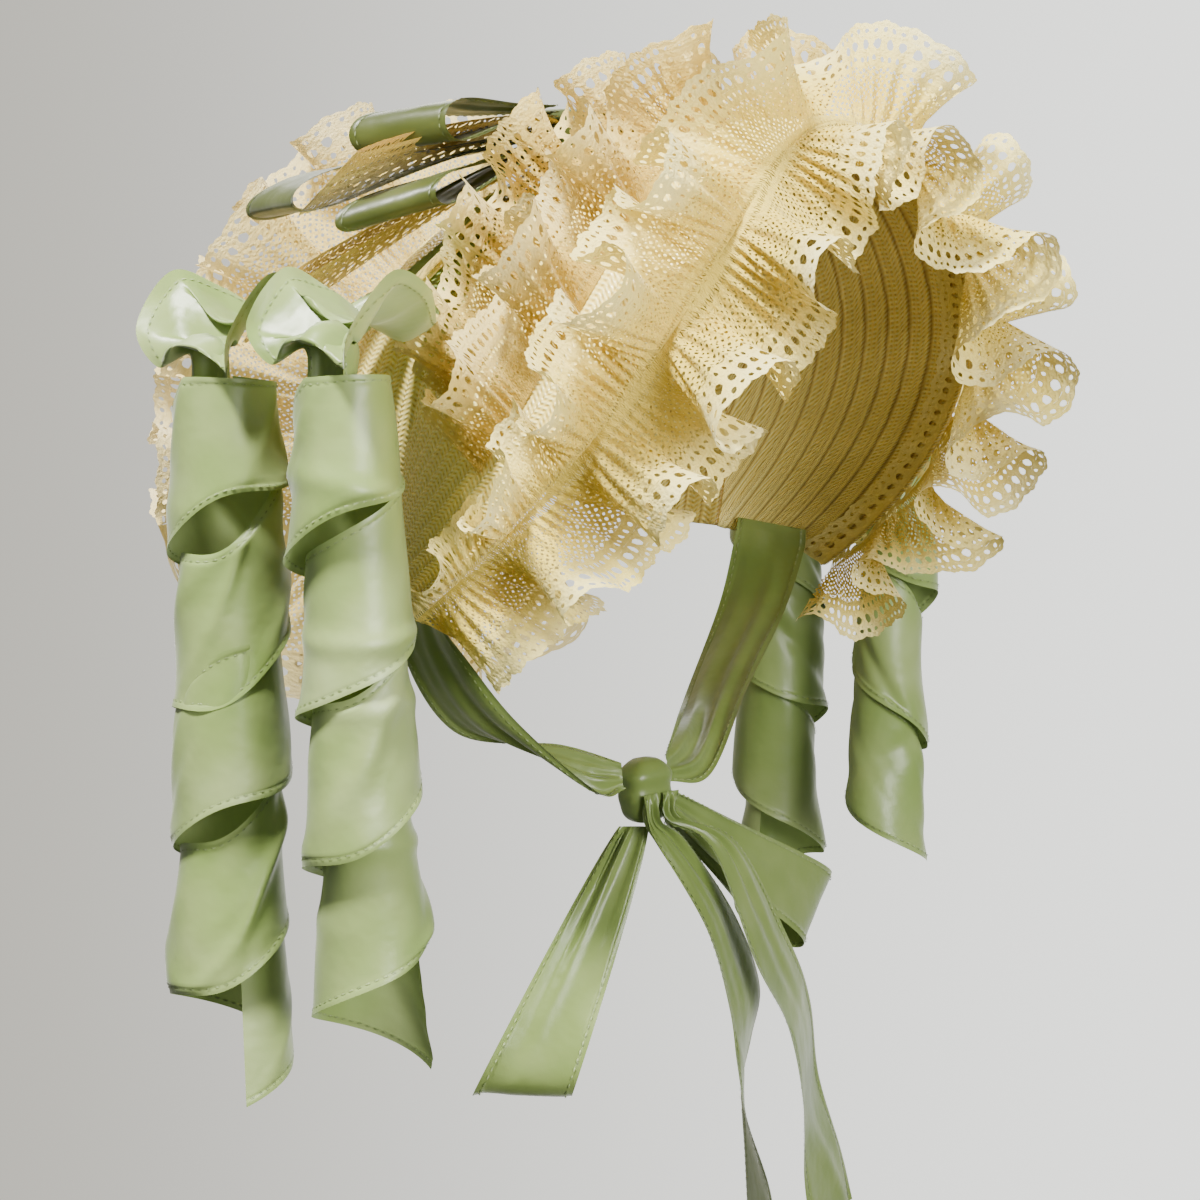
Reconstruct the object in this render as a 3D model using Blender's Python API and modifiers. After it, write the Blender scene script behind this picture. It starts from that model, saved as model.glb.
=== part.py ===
"""A poke bonnet: a straw crown and deep brim, gathered lace, a satin bow, spiral ribbon curls and chin ties.

Metres, +Z up. The wearer faces -Y and the wearer's right is -X. The origin is the inside of the crown's top,
where it rests on the head.
"""

import math

import bpy
import numpy as np

# Walls and clearances
STRAW = 0.002
LACE = 0.001
SATIN = 0.001
GAP = 0.0003
# How far apart, in radians or shares, two points are taken to find a surface's direction
STEP = 0.001
# Points along a seam that is read by its length, along a loop and along any other ribbon
SEAM_POINTS = 161
LOOP_POINTS = 15
RIBBON_POINTS = 17

# The crown: an arch over the head that closes towards the back and is open at the face and the nape
CROWN_HALF_WIDTH = 0.086
CROWN_HEIGHT = 0.121
CROWN_DEPTH = 0.116
CROWN_FRONT = -0.005
CROWN_POWER = 2.4
CROWN_BACK_HEIGHT = 0.111
CROWN_FOOT_SET_BACK = 0.020
# How far round the arch both the crown and the brim go on each side, in radians from the top
ARCH_END_ANGLE = 1.75
# The crown stops this short of its tip, as a share of its depth, so the nape is cut out
CROWN_END_SHARE = 0.995
# Faces of the straw round the arch, over the crown's depth and over the brim's
CROWN_FACES_ROUND = 16
CROWN_FACES_DEEP = 7
BRIM_FACES_ROUND = 20
BRIM_FACES_DEEP = 3

# The brim's edge: its half width, height and forward reach, and how it flares, dips and sweeps to the jaw
EDGE_HALF_WIDTH = 0.0804
EDGE_FLARE_SHARE = 0.342
EDGE_TOP = 0.0225
EDGE_HEIGHT = 0.1537
EDGE_REACH = 0.1344
EDGE_DIP = 0.0508
EDGE_SWEEP = 0.1199
BRIM_BULGE = 0.008
# The straw ends this far behind the stitches of the front ruffle
STRAW_SET_BACK = 0.0027
BRIM_TO_CROWN = 0.0009

# The gathered lace
FRONT_LACE_WIDTH = 0.046
ROW_LACE_WIDTH = 0.029
REAR_LACE_WIDTH = 0.072
BAND_WIDTH = 0.014
# Lace stands off the straw by its own half wall and a gap
LACE_SEAT = STRAW / 2 + GAP + LACE / 2
# Where the second and third rows are stitched, as shares of the brim from its edge to the crown
SECOND_ROW_SHARE = 0.33
THIRD_ROW_SHARE = 0.63
SECOND_ROW_END_ANGLE = 1.24
THIRD_ROW_END_ANGLE = 0.96
# Where the rear ring is stitched, as a share of the crown's depth, and how far it sags across the nape
REAR_RING_SHARE = 0.78
REAR_SAG = 0.016
NAPE_POINTS = 40
# Directions of the frills in radians: 0 points forward, a quarter turn outward, a half turn back
FRONT_INNER_LEAN = math.radians(-24)
FRONT_OUTER_LEAN = math.radians(118)
ROW_LEAN = math.radians(128)
REAR_LEAN = math.radians(120)
FOLD_POINTS = 10
# Steps in which a fold's line is summed up between two of its points
FOLD_STEPS = 24

# The folds of each lace, a row for each fold: its length as a share of the mean fold, how far its edge swings
# in radians, and how much of the full width it has on the outer and the inner side
FRONT_FOLDS = (
    # length, swing, outer, inner
    (0.86, 1.40, 0.32, 0.86),
    (1.02, 1.62, 0.48, 0.96),
    (1.00, 1.72, 0.76, 1.00),
    (1.10, 1.70, 0.96, 1.00),
    (0.96, 1.62, 0.94, 1.00),
    (1.05, 1.50, 0.90, 0.84),
    (1.05, 1.50, 0.90, 0.84),
    (0.96, 1.62, 0.94, 1.00),
    (1.10, 1.70, 0.96, 1.00),
    (1.00, 1.72, 0.76, 1.00),
    (1.02, 1.62, 0.48, 0.96),
    (0.86, 1.40, 0.32, 0.86),
)
ROW_FOLDS = (
    # length, swing, outer
    (0.92, 1.45, 0.80),
    (1.04, 1.62, 0.98),
    (0.98, 1.70, 1.00),
    (1.06, 1.66, 0.94),
    (1.06, 1.66, 0.94),
    (0.98, 1.70, 1.00),
    (1.04, 1.62, 0.98),
    (0.92, 1.45, 0.80),
)
REAR_FOLDS = (
    # length, swing, outer
    (1.00, 1.60, 1.00),
    (0.94, 1.68, 1.04),
    (1.06, 1.62, 0.98),
    (1.00, 1.70, 1.00),
    (0.96, 1.60, 1.02),
    (1.04, 1.66, 1.10),
    (1.04, 1.66, 1.10),
    (0.96, 1.60, 1.02),
    (1.00, 1.70, 1.00),
    (1.06, 1.62, 0.98),
    (0.94, 1.68, 1.04),
    (1.00, 1.60, 1.00),
)

# The bow on the top of the crown
BOW_SET_BACK = 0.013
BOW_KNOT_WIDTH = 0.022
BOW_KNOT_LENGTH = 0.030
BOW_KNOT_HEIGHT = 0.030
BOW_KNOT_EDGE = 0.003
BOW_RIBBON_WIDTH = 0.040
BOW_LOOP_REACH = 0.110
BOW_ROOT_WIDTH = 0.017
BOW_ROOT_OPENING = 0.0024
BOW_LOOP_OPENING = 0.020
# How quickly a loop leaves its root and how quickly its ribbon spreads: the smaller, the quicker
LOOP_ROUND_POWER = 0.6
LOOP_SPREAD_POWER = 0.7
# How steeply all loops fall to the back, and how far a loop of full reach droops

BOW_FALL_SHARE = 0.12
BOW_DROOP = 0.012
# The loops of one side, lying over each other like a fan. In shares: where the root is up the knot, how far the
# loop goes aside and back in shares of its reach, how the ribbon's width points aside and back, how steeply it
# falls to the side, and the loop's opening
BOW_LOOPS = (
    # name, root, aside, back, width aside, width back, fall, opening
    ("bow_loop_upper", 0.91, 0.58, 0.02, 0.44, 0.78, -0.06, 0.70),
    ("bow_lace_upper", 0.77, 0.80, 0.14, 0.10, 0.94, 0.05, 0.12),
    ("bow_loop_rear", 0.63, 0.92, 0.34, -0.14, 0.96, 0.13, 0.70),
    ("bow_loop_front", 0.49, 0.58, -0.02, 0.50, 0.50, 0.28, 0.60),
    ("bow_lace_rear", 0.35, 0.92, 0.46, -0.20, 0.88, 0.36, 0.24),
    ("bow_lace_front", 0.20, 0.60, -0.16, 0.66, 0.60, 0.42, 0.24),
)

# The curls: wide satin ribbon wound as an open spiral, each hanging from a ribbon draped from the bow
CURL_RIBBON_WIDTH = 0.058
CURL_TURN_HEIGHT = 0.056
CURL_FLARE = 0.0024
CURL_ASIDE = 0.147
CURL_TURN_POINTS = 10
# The spiral starts this far round past the outer side, in radians
CURL_START = math.radians(50)
# A row for each curl: its side, how far back it hangs, where it starts and ends below the crown's top, its
# radius and how much nearer the head its end hangs
CURLS = (
    # name, side, back, top, bottom, radius, lean in
    ("right_front", -1, -0.034, -0.062, -0.326, 0.0195, 0.010),
    ("right_rear", -1, 0.038, -0.066, -0.345, 0.0200, -0.004),
    ("left_front", 1, -0.034, -0.062, -0.288, 0.0155, 0.006),
    ("left_rear", 1, 0.038, -0.066, -0.330, 0.0190, -0.004),
)

# The draped ribbons: their width at the bow, over the side and where they are tucked into the curl
DRAPE_ROOT_WIDTH = 0.011
DRAPE_ROOT_SPREAD = 0.0075
DRAPE_WIDTH = 0.056
DRAPE_TUCK = 0.016
DRAPE_TUCK_START = 0.004
DRAPE_TUCK_HALF_TURN = math.radians(42)
DRAPE_FACES_ACROSS = 3
# Sections from the bow to the curl's top. In shares: how far aside and back between the two, the height above
# the curl's top in shares of the drape's drop, the width, and the bulge as a share of the width
DRAPE_SECTIONS = (
    # aside, back, height, width, bulge
    (0.14, 0.03, 0.895, 0.22, 0.02),
    (0.34, 0.05, 0.59, 0.24, 0.04),
    (0.52, 0.17, 0.36, 0.40, 0.08),
    (0.70, 0.54, 0.20, 0.74, 0.14),
    (0.86, 0.86, 0.36, 1.00, 0.18),
    (1.02, 1.00, 0.44, 1.00, 0.22),
    (1.13, 1.00, 0.24, 0.90, 0.22),
)

# The chin ties and the bow under the chin
TIE_WIDTH = 0.038
CHIN_KNOT_ASIDE = -0.019
CHIN_KNOT_FORWARD = -0.053
CHIN_KNOT_DROP = -0.231
CHIN_KNOT_WIDTH = 0.022
CHIN_KNOT_DEPTH = 0.016
CHIN_KNOT_HEIGHT = 0.026
CHIN_KNOT_EDGE = 0.003
# How high up the knot the ties end, in shares of its height
TIE_END_SHARE = 0.26
# The ties are sewn inside the brim's lower corners
TIE_SEAT_ANGLE = 1.69
TIE_SEAT_SHARE = 0.62
TIE_SEAT_WIDTH = 0.030
TIE_STAND_OFF = 0.0016
# Sections of a tie from the brim to the knot. In shares: how far aside, forward and down between the two, the
# width, and where the width points aside, back and up
TIE_SECTIONS = (
    # aside, forward, down, width, width aside, width back, width up
    (0.03, 0.02, 0.12, 0.80, -0.50, 0.85, 0.15),
    (0.14, 0.04, 0.42, 1.00, 0.00, 1.00, 0.00),
    (0.42, 0.24, 0.78, 0.98, 0.00, 0.98, -0.20),
    (0.78, 0.80, 0.96, 0.70, 0.00, 0.70, 0.60),
    (1.00, 1.00, 1.00, 0.28, 0.00, 0.10, 1.00),
)
# The loops of the chin bow. In shares: the place of the root across and up the knot, how far the loop goes
# aside, back and up in shares of its length, its width aside, back and up where it is open and at the root, and
# its opening
CHIN_LOOP_LENGTH = 0.112
CHIN_LOOP_OPENING = 0.024
CHIN_LOOP_ROOT_WIDTH = 0.0114
CHIN_LOOPS = (
    # name, root across, root up, aside, back, up, width aside, back, up, root width aside, back, up, opening
    ("chin_loop_right", -0.26, -0.53, -0.46, 0.06, -0.88, 0.743, -0.669, 0.00, 0.743, -0.669, 0.0, 1.00),
    ("chin_loop_left", 0.536, -0.28, 0.84, 0.10, -0.55, -0.72, -0.26, -0.65, 0.0, 0.0, -1.0, 0.80),
)
# The free ends. In shares: how far aside, forward and down in shares of the end's drop, the width, and the turn
# of the width about the vertical in degrees
CHIN_TAIL_DROP = 0.190
CHIN_TAIL_ROOT_WIDTH = 0.0085
# Where a free end leaves the knot's front, in shares of the knot's depth and height
CHIN_TAIL_LIFT_SHARE = 0.1
CHIN_TAIL_SLIDE_SHARE = 0.4
CHIN_TAILS = (
    (
        "chin_tail_right",
        -0.22,
        (
            # aside, forward, down, width, turn
            (0.05, 0.012, 0.11, 0.46, 5),
            (0.17, 0.030, 0.29, 0.85, 25),
            (0.24, 0.030, 0.46, 1.00, 26),
            (0.25, 0.020, 0.58, 1.00, 36),
            (0.26, 0.010, 0.70, 1.00, 48),
            (0.30, 0.010, 0.86, 1.00, 60),
            (0.32, 0.010, 1.00, 1.00, 64),
        ),
    ),
    (
        "chin_tail_left",
        0.24,
        (
            # aside, forward, down, width, turn
            (0.10, 0.056, 0.12, 0.46, 10),
            (0.24, 0.060, 0.37, 0.90, 20),
            (0.33, 0.050, 0.52, 1.00, 30),
            (0.38, 0.040, 0.70, 1.00, 34),
            (0.43, 0.030, 0.88, 1.00, 20),
            (0.46, 0.030, 1.00, 1.00, 16),
        ),
    ),
)


def material(name, colour, roughness):
    """A plain surface of the part's own colour."""
    made = bpy.data.materials.new(name)
    made.use_nodes = True
    surface = made.node_tree.nodes["Principled BSDF"]
    surface.inputs["Base Color"].default_value = (*colour, 1.0)
    surface.inputs["Roughness"].default_value = roughness
    surface.inputs["Metallic"].default_value = 0.0
    return made


def unit(vectors):
    """Vectors of length one."""
    return vectors / np.linalg.norm(vectors, axis=-1, keepdims=True)


def smooth(table, count):
    """The rows of a table, read evenly from a smooth curve through them."""
    rows = np.array(table, float)
    padded = np.vstack([2 * rows[0] - rows[1], rows, 2 * rows[-1] - rows[-2]])
    place = np.linspace(0, len(rows) - 1, count)
    first = np.minimum(place.astype(int), len(rows) - 2)
    f = (place - first)[:, None]
    a, b, c, d = (padded[first + k] for k in range(4))
    return 0.5 * (2 * b + (c - a) * f + (2 * a - 5 * b + 4 * c - d) * f**2 + (3 * b - a - 3 * c + d) * f**3)


def sheet(name, grid, wall, surface, closed=False):
    """A wall of even thickness on a grid of points, given as rows of one length."""
    rows, columns = grid.shape[:2]
    last = rows if closed else rows - 1
    faces = []
    for i in range(last):
        for j in range(columns - 1):
            after = (i + 1) % rows
            faces.append((i * columns + j, after * columns + j, after * columns + j + 1, i * columns + j + 1))
    mesh = bpy.data.meshes.new(name)
    mesh.from_pydata(grid.reshape(-1, 3).tolist(), [], faces)
    mesh.materials.append(surface)
    mesh.shade_smooth()
    made = bpy.data.objects.new(name, mesh)
    bpy.data.collections["poke_bonnet"].objects.link(made)
    wall_modifier = made.modifiers.new("wall", "SOLIDIFY")
    wall_modifier.thickness = wall
    wall_modifier.offset = 0.0
    return made


def crown_points(angle, share):
    """Points of the crown's middle surface: angle from the top, share of the depth from the front."""
    closing = (1 - share**CROWN_POWER) ** (1 / CROWN_POWER)
    arch_top = STRAW / 2
    centre = -CROWN_BACK_HEIGHT
    arch = arch_top - CROWN_HEIGHT * (1 - np.cos(angle))
    x = closing * CROWN_HALF_WIDTH * np.sin(angle)
    z = centre + closing * (arch - centre)
    foot = CROWN_FOOT_SET_BACK * (1 - np.cos(angle)) / (1 - math.cos(ARCH_END_ANGLE))
    y = CROWN_FRONT + foot * (1 - share) + CROWN_DEPTH * share
    return np.stack([x, y, z], axis=-1)


def edge_points(angle):
    """The line of stitches along the brim's edge."""
    drop = 1 - np.cos(angle)
    x = EDGE_HALF_WIDTH * np.sin(angle) * (1 + EDGE_FLARE_SHARE * drop)
    y = -EDGE_REACH - EDGE_DIP * drop + EDGE_SWEEP * drop**2
    z = EDGE_TOP - EDGE_HEIGHT * drop
    return np.stack([x, y, z], axis=-1)


def brim_flat(angle, share):
    """The brim before it bulges, straight from its edge to the crown."""
    edge = edge_points(angle)
    return edge + (crown_points(angle, np.zeros_like(angle)) - edge) * np.expand_dims(share, -1)


def brim_points(angle, share):
    """Points of the brim's middle surface: share 0 at the stitches of the edge and 1 at the crown."""
    along = brim_flat(angle + STEP, share) - brim_flat(angle - STEP, share)
    back = brim_flat(angle, np.ones_like(share)) - brim_flat(angle, np.zeros_like(share))
    outward = unit(np.cross(along, back))
    return brim_flat(angle, share) + outward * np.expand_dims(BRIM_BULGE * 4 * share * (1 - share), -1)


class Seam:
    """A line of stitches, with its directions forward and outward, read by the share of its length."""

    def __init__(self, points, forward, outward):
        steps = np.linalg.norm(np.diff(points, axis=0), axis=1)
        self.share = np.concatenate([[0], np.cumsum(steps)]) / steps.sum()
        self.length = steps.sum()
        self.points = points
        self.outward = unit(outward)
        along = unit(np.gradient(points, axis=0))
        across = forward - along * np.sum(forward * along, axis=1, keepdims=True)
        across = across - self.outward * np.sum(across * self.outward, axis=1, keepdims=True)
        self.forward = unit(across)

    def read(self, rows, share):
        """One of the seam's columns at each share."""
        return np.stack([np.interp(share, self.share, rows[:, k]) for k in range(3)], axis=-1)


def brim_seam(share, end, lift):
    """A seam on the brim, lifted off its middle surface."""
    angle = np.linspace(-end, end, SEAM_POINTS)
    at = np.full_like(angle, share)
    along = brim_points(angle + STEP, at) - brim_points(angle - STEP, at)
    back = brim_points(angle, at + STEP) - brim_points(angle, at)
    outward = unit(np.cross(along, back))
    return Seam(brim_points(angle, at) + outward * lift, -back, outward)


def rear_seam():
    """The closed seam of the rear ring: over the crown, and across the nape below it."""
    angle = np.linspace(-ARCH_END_ANGLE, ARCH_END_ANGLE, SEAM_POINTS)
    at = np.full_like(angle, REAR_RING_SHARE)
    along = crown_points(angle + STEP, at) - crown_points(angle - STEP, at)
    back = crown_points(angle, at + STEP) - crown_points(angle, at)
    outward = unit(np.cross(along, back))
    arch = crown_points(angle, at) + outward * LACE_SEAT
    turn = np.linspace(0, math.pi, NAPE_POINTS + 2)[1:-1, None]
    nape = arch[-1] + (arch[0] - arch[-1]) * (1 - np.cos(turn)) / 2
    nape[:, 2] -= REAR_SAG * np.sin(turn[:, 0])
    ring = np.vstack([arch, nape, arch[:1]])
    centre = np.array([0.0, 0.0, ring[:, 2].mean()])
    radial = ring - centre
    radial[:, 1] = 0.0
    along = unit(np.gradient(ring, axis=0))
    radial = radial - along * np.sum(radial * along, axis=1, keepdims=True)
    return Seam(ring, np.tile([0.0, -1.0, 0.0], (len(ring), 1)), radial)


def fold_line(folds):
    """The free edge of the lace laid out flat, and what it reads from the table.

    Gives, for points along the lace, the share of its length, the share of the seam where its edge lies, how
    far aside the edge lies in shares of the lace's length, and the widths. Each fold is a meander whose
    direction swings as a sine.
    """
    table = np.array(folds, float)
    lengths = table[:, 0] / table[:, 0].sum()
    place = (np.arange(len(folds) * FOLD_POINTS * FOLD_STEPS) + 0.5) / (FOLD_POINTS * FOLD_STEPS)
    fold = place.astype(int)
    heading = table[fold, 1] * np.sin(2 * np.pi * place)
    step = lengths[fold] / (FOLD_POINTS * FOLD_STEPS)
    along = np.concatenate([[0], np.cumsum(step * np.cos(heading))])[::FOLD_STEPS]
    aside = np.concatenate([[0], np.cumsum(step * np.sin(heading))])[::FOLD_STEPS]
    lace = np.concatenate([[0], np.cumsum(step)])[::FOLD_STEPS]
    middle = np.arange(len(folds)) + 0.5
    knots = np.arange(len(along)) / FOLD_POINTS
    widths = np.stack([np.interp(knots, middle, table[:, k]) for k in range(2, table.shape[1])], axis=-1)
    return lace, along / along[-1], aside - aside.mean(), along[-1], widths


def frill(seam, folds, width, lean, turn, column, shares):
    """Rows of points from the seam to the free edge of a gathered lace."""
    lace, edge_share, aside, gathered, widths = fold_line(folds)
    lace_length = seam.length / gathered
    grid = []
    for share in shares:
        at = lace * (1 - share) + edge_share * share
        swing = lean + turn * aside * lace_length / width
        forward = seam.read(seam.forward, at)
        outward = seam.read(seam.outward, at)
        away = unit(np.cos(swing)[:, None] * forward + np.sin(swing)[:, None] * outward)
        grid.append(seam.read(seam.points, at) + away * (share * width * widths[:, column])[:, None])
    return np.stack(grid, axis=1)


def ribbon_grid(centres, widths, bulge, across):
    """Rows of points across a ribbon, from its centre line and its width vectors."""
    along = np.gradient(centres, axis=0)
    normal = unit(np.cross(along, widths))
    grid = []
    for place in np.linspace(-0.5, 0.5, across + 1):
        lift = np.asarray(bulge) * (1 - 4 * place**2)
        grid.append(centres + widths * place + normal * np.reshape(lift, (-1, 1)))
    return np.stack(grid, axis=1)


def add_crown(straw):
    """The cap at the back of the head."""
    angle = np.linspace(-ARCH_END_ANGLE, ARCH_END_ANGLE, CROWN_FACES_ROUND + 1)
    share = CROWN_END_SHARE * np.sin(np.linspace(0, math.pi / 2, CROWN_FACES_DEEP + 1))
    grid = crown_points(*np.meshgrid(angle, share, indexing="ij"))
    sheet("crown", grid, STRAW, straw)


def brim_share(angle, distance):
    """The share of the brim that lies this far from its edge."""
    one = np.ones_like(angle)
    depth = np.linalg.norm(brim_flat(angle, one) - brim_flat(angle, 0 * one), axis=-1)
    return distance / depth


def add_brim(straw, lace):
    """The deep brim, and the flat lace band inside its edge."""
    angle = np.linspace(-ARCH_END_ANGLE, ARCH_END_ANGLE, BRIM_FACES_ROUND + 1)
    near = brim_share(angle, STRAW_SET_BACK)
    far = 1 - brim_share(angle, BRIM_TO_CROWN)
    band_end = brim_share(angle, STRAW_SET_BACK + BAND_WIDTH)
    behind_band = np.linspace(band_end, far, BRIM_FACES_DEEP + 1, axis=1)
    shares = np.concatenate([near[:, None], behind_band], axis=1)
    grid = brim_points(np.repeat(angle[:, None], shares.shape[1], axis=1), shares)
    sheet("brim", grid, STRAW, straw)
    band = np.stack([near, band_end], axis=1)
    wide = np.repeat(angle[:, None], 2, axis=1)
    along = brim_points(wide + STEP, band) - brim_points(wide - STEP, band)
    back = brim_points(wide, band + STEP) - brim_points(wide, band)
    inward = -unit(np.cross(along, back))
    sheet("edge_band", brim_points(wide, band) + inward * LACE_SEAT, LACE, lace)


def add_ruffles(lace):
    """The front ruffle, gathered through its middle, the two rows behind it and the rear ring."""
    edge = brim_seam(0.0, ARCH_END_ANGLE, 0.0)
    outer = frill(edge, FRONT_FOLDS, FRONT_LACE_WIDTH, FRONT_OUTER_LEAN, -1, 0, (1.0, 0.5))
    inner = frill(edge, FRONT_FOLDS, FRONT_LACE_WIDTH, FRONT_INNER_LEAN, 1, 1, (0.0, 0.5, 1.0))
    sheet("front_ruffle", np.concatenate([outer, inner], axis=1), LACE, lace)
    for name, share, end in (
        ("second_ruffle", SECOND_ROW_SHARE, SECOND_ROW_END_ANGLE),
        ("third_ruffle", THIRD_ROW_SHARE, THIRD_ROW_END_ANGLE),
    ):
        seam = brim_seam(share, end, LACE_SEAT)
        row = frill(seam, ROW_FOLDS, ROW_LACE_WIDTH, ROW_LEAN, -1, 0, (0.0, 1.0))
        sheet(name, row, LACE, lace)
    ring = frill(rear_seam(), REAR_FOLDS, REAR_LACE_WIDTH, REAR_LEAN, -1, 0, (0.0, 0.5, 1.0))
    sheet("rear_ruffle", ring[:-1], LACE, lace, closed=True)


def knot(name, centre, size, edge, surface):
    """A knot of ribbon: a block with rounded edges."""
    bpy.ops.mesh.primitive_cube_add(size=1, location=centre)
    made = bpy.context.object
    made.name = name
    made.data.name = name
    made.scale = size
    bpy.ops.object.transform_apply(location=False, rotation=False, scale=True)
    made.data.materials.append(surface)
    for collection in list(made.users_collection):
        collection.objects.unlink(made)
    bpy.data.collections["poke_bonnet"].objects.link(made)
    round_off = made.modifiers.new("edges", "BEVEL")
    round_off.width = edge
    round_off.segments = 2
    made.data.shade_smooth()
    return made


def bow_root(side, height_share):
    """Where a ribbon leaves the side of the bow's knot."""
    reach = BOW_KNOT_WIDTH / 2 + GAP + SATIN / 2
    height = STRAW + GAP + BOW_KNOT_HEIGHT * height_share
    return np.array([side * reach, BOW_SET_BACK, height])


def loop_centres(root, reach, root_up, up, opening):
    """The centre line of a loop: out below, round its end and back above. Also how open it is at each point."""
    turn = (1 - np.cos(math.pi * np.linspace(0, 1, LOOP_POINTS)[:, None])) / 2
    out = np.sin(math.pi * turn).clip(0, 1) ** LOOP_ROUND_POWER
    opened = out**LOOP_SPREAD_POWER
    rise = -opening / 2 * out * np.sin(2 * math.pi * turn) + (turn - 0.5) * BOW_ROOT_OPENING
    return root + reach * out + unit(root_up * (1 - opened) + up * opened) * rise, opened


def add_bow(satin, lace):
    """The knot on the crown and its loops of ribbon and lace on both sides."""
    middle = STRAW + GAP + BOW_KNOT_HEIGHT / 2
    size = (BOW_KNOT_WIDTH, BOW_KNOT_LENGTH, BOW_KNOT_HEIGHT)
    knot("bow_knot", (0, BOW_SET_BACK, middle), size, BOW_KNOT_EDGE, satin)
    for side, word in ((-1, "right"), (1, "left")):
        for name, root_share, aside, back, width_aside, width_back, fall, opening in BOW_LOOPS:
            root = bow_root(side, root_share)
            up = -fall * aside - BOW_FALL_SHARE * back
            width_up = -fall * width_aside - BOW_FALL_SHARE * width_back
            reach = BOW_LOOP_REACH * np.array([side * aside, back, up])
            full = BOW_RIBBON_WIDTH * unit(np.array([side * width_aside, width_back, width_up]))
            upward = unit(np.cross(reach, full)) * side
            vertical = np.array([0.0, 0.0, 1.0])
            centres, opened = loop_centres(root, reach, vertical, upward, BOW_LOOP_OPENING * opening)
            narrow = BOW_ROOT_WIDTH * np.array([0.0, 1.0, -BOW_FALL_SHARE])
            widths = narrow * (1 - opened) + full * opened
            droop = BOW_DROOP * ((centres[:, :1] - root[0]) / BOW_LOOP_REACH) ** 2
            centres = centres + (widths - narrow) / 2 * opened - vertical * droop
            surface = lace if "lace" in name else satin
            wall = LACE if "lace" in name else SATIN
            sheet(f"{name}_{word}", ribbon_grid(centres, widths, 0.0, 1), wall, surface)


def add_curl(word, side, back, top, bottom, radius, lean_in, satin):
    """A wide ribbon wound down as an open spiral, each turn's lower edge over the next turn's upper edge."""
    height = top - bottom - CURL_RIBBON_WIDTH
    turns = height / CURL_TURN_HEIGHT
    count = int(round(turns * CURL_TURN_POINTS)) + 1
    down = np.linspace(0, 1, count)
    turn = CURL_START - 2 * math.pi * turns * down
    axis_x = side * (CURL_ASIDE - lean_in * down)
    middle = top - CURL_RIBBON_WIDTH / 2 - height * down
    grid = []
    for place in (-1, 0, 1):
        wide = radius + CURL_FLARE * place
        x = axis_x + side * wide * np.cos(turn)
        y = back - wide * np.sin(turn)
        grid.append(np.stack([x, y, middle - place * CURL_RIBBON_WIDTH / 2], axis=-1))
    sheet(f"curl_{word}", np.stack(grid, axis=1), SATIN, satin)


def add_drape(word, side, back, top, bottom, radius, lean_in, satin):
    """The ribbon that comes from under the bow, swells over the side and is tucked into the curl's top."""
    root = bow_root(side, 0.0)
    root[1] += math.copysign(DRAPE_ROOT_SPREAD, back)
    root[2] += SATIN / 2 + GAP
    goal = np.array([side * CURL_ASIDE, back, top])
    span = root - goal
    rows = [(*root, 0.0, DRAPE_ROOT_WIDTH, 0.0, 0.0)]
    for aside, along_back, height, width, bulge in DRAPE_SECTIONS:
        centre = root - span * np.array([aside, along_back, 1.0])
        centre[2] = goal[2] + span[2] * height
        rows.append((*centre, 0.0, DRAPE_WIDTH * width, 0.0, DRAPE_WIDTH * width * bulge))
    edge_drop = CURL_TURN_HEIGHT * CURL_START / (2 * math.pi)
    flare = CURL_FLARE * (1 - 2 * (DRAPE_TUCK - edge_drop) / CURL_RIBBON_WIDTH)
    leaning = abs(lean_in) * DRAPE_TUCK / (top - bottom - CURL_RIBBON_WIDTH)
    inner = radius * math.cos(math.pi / CURL_TURN_POINTS) - flare - leaning - SATIN - GAP
    half = inner * math.sin(DRAPE_TUCK_HALF_TURN)
    reach = inner * math.cos(DRAPE_TUCK_HALF_TURN)
    faceting = 1 / (1 - 1 / DRAPE_FACES_ACROSS**2)
    for lift in (DRAPE_TUCK_START, -DRAPE_TUCK):
        centre = goal + (side * reach, 0.0, lift)
        rows.append((*centre, 0.0, 2 * half, 0.0, (inner - reach) * faceting))
    read = smooth(rows, RIBBON_POINTS)
    bulge = read[:, 6] * side * -1
    sheet(f"drape_{word}", ribbon_grid(read[:, :3], read[:, 3:6], bulge, DRAPE_FACES_ACROSS), SATIN, satin)


def add_curls(satin):
    """The curls and the ribbons that they hang from."""
    for word, side, back, top, bottom, radius, lean_in in CURLS:
        add_curl(word, side, back, top, bottom, radius, lean_in, satin)
        add_drape(word, side, back, top, bottom, radius, lean_in, satin)


def tie_seat(side):
    """Where a tie is sewn inside the brim's lower corner."""
    angle = np.array([side * TIE_SEAT_ANGLE])
    share = np.array([TIE_SEAT_SHARE])
    along = brim_points(angle + STEP, share) - brim_points(angle - STEP, share)
    back = brim_points(angle, share + STEP) - brim_points(angle, share)
    inward = -unit(np.cross(along, back))
    sag = BRIM_BULGE * 4 * brim_share(angle, TIE_SEAT_WIDTH / 2) ** 2
    seat = brim_points(angle, share) + inward * (STRAW / 2 + GAP + SATIN / 2 + sag + TIE_STAND_OFF)
    return seat[0], unit(back)[0]


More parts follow.
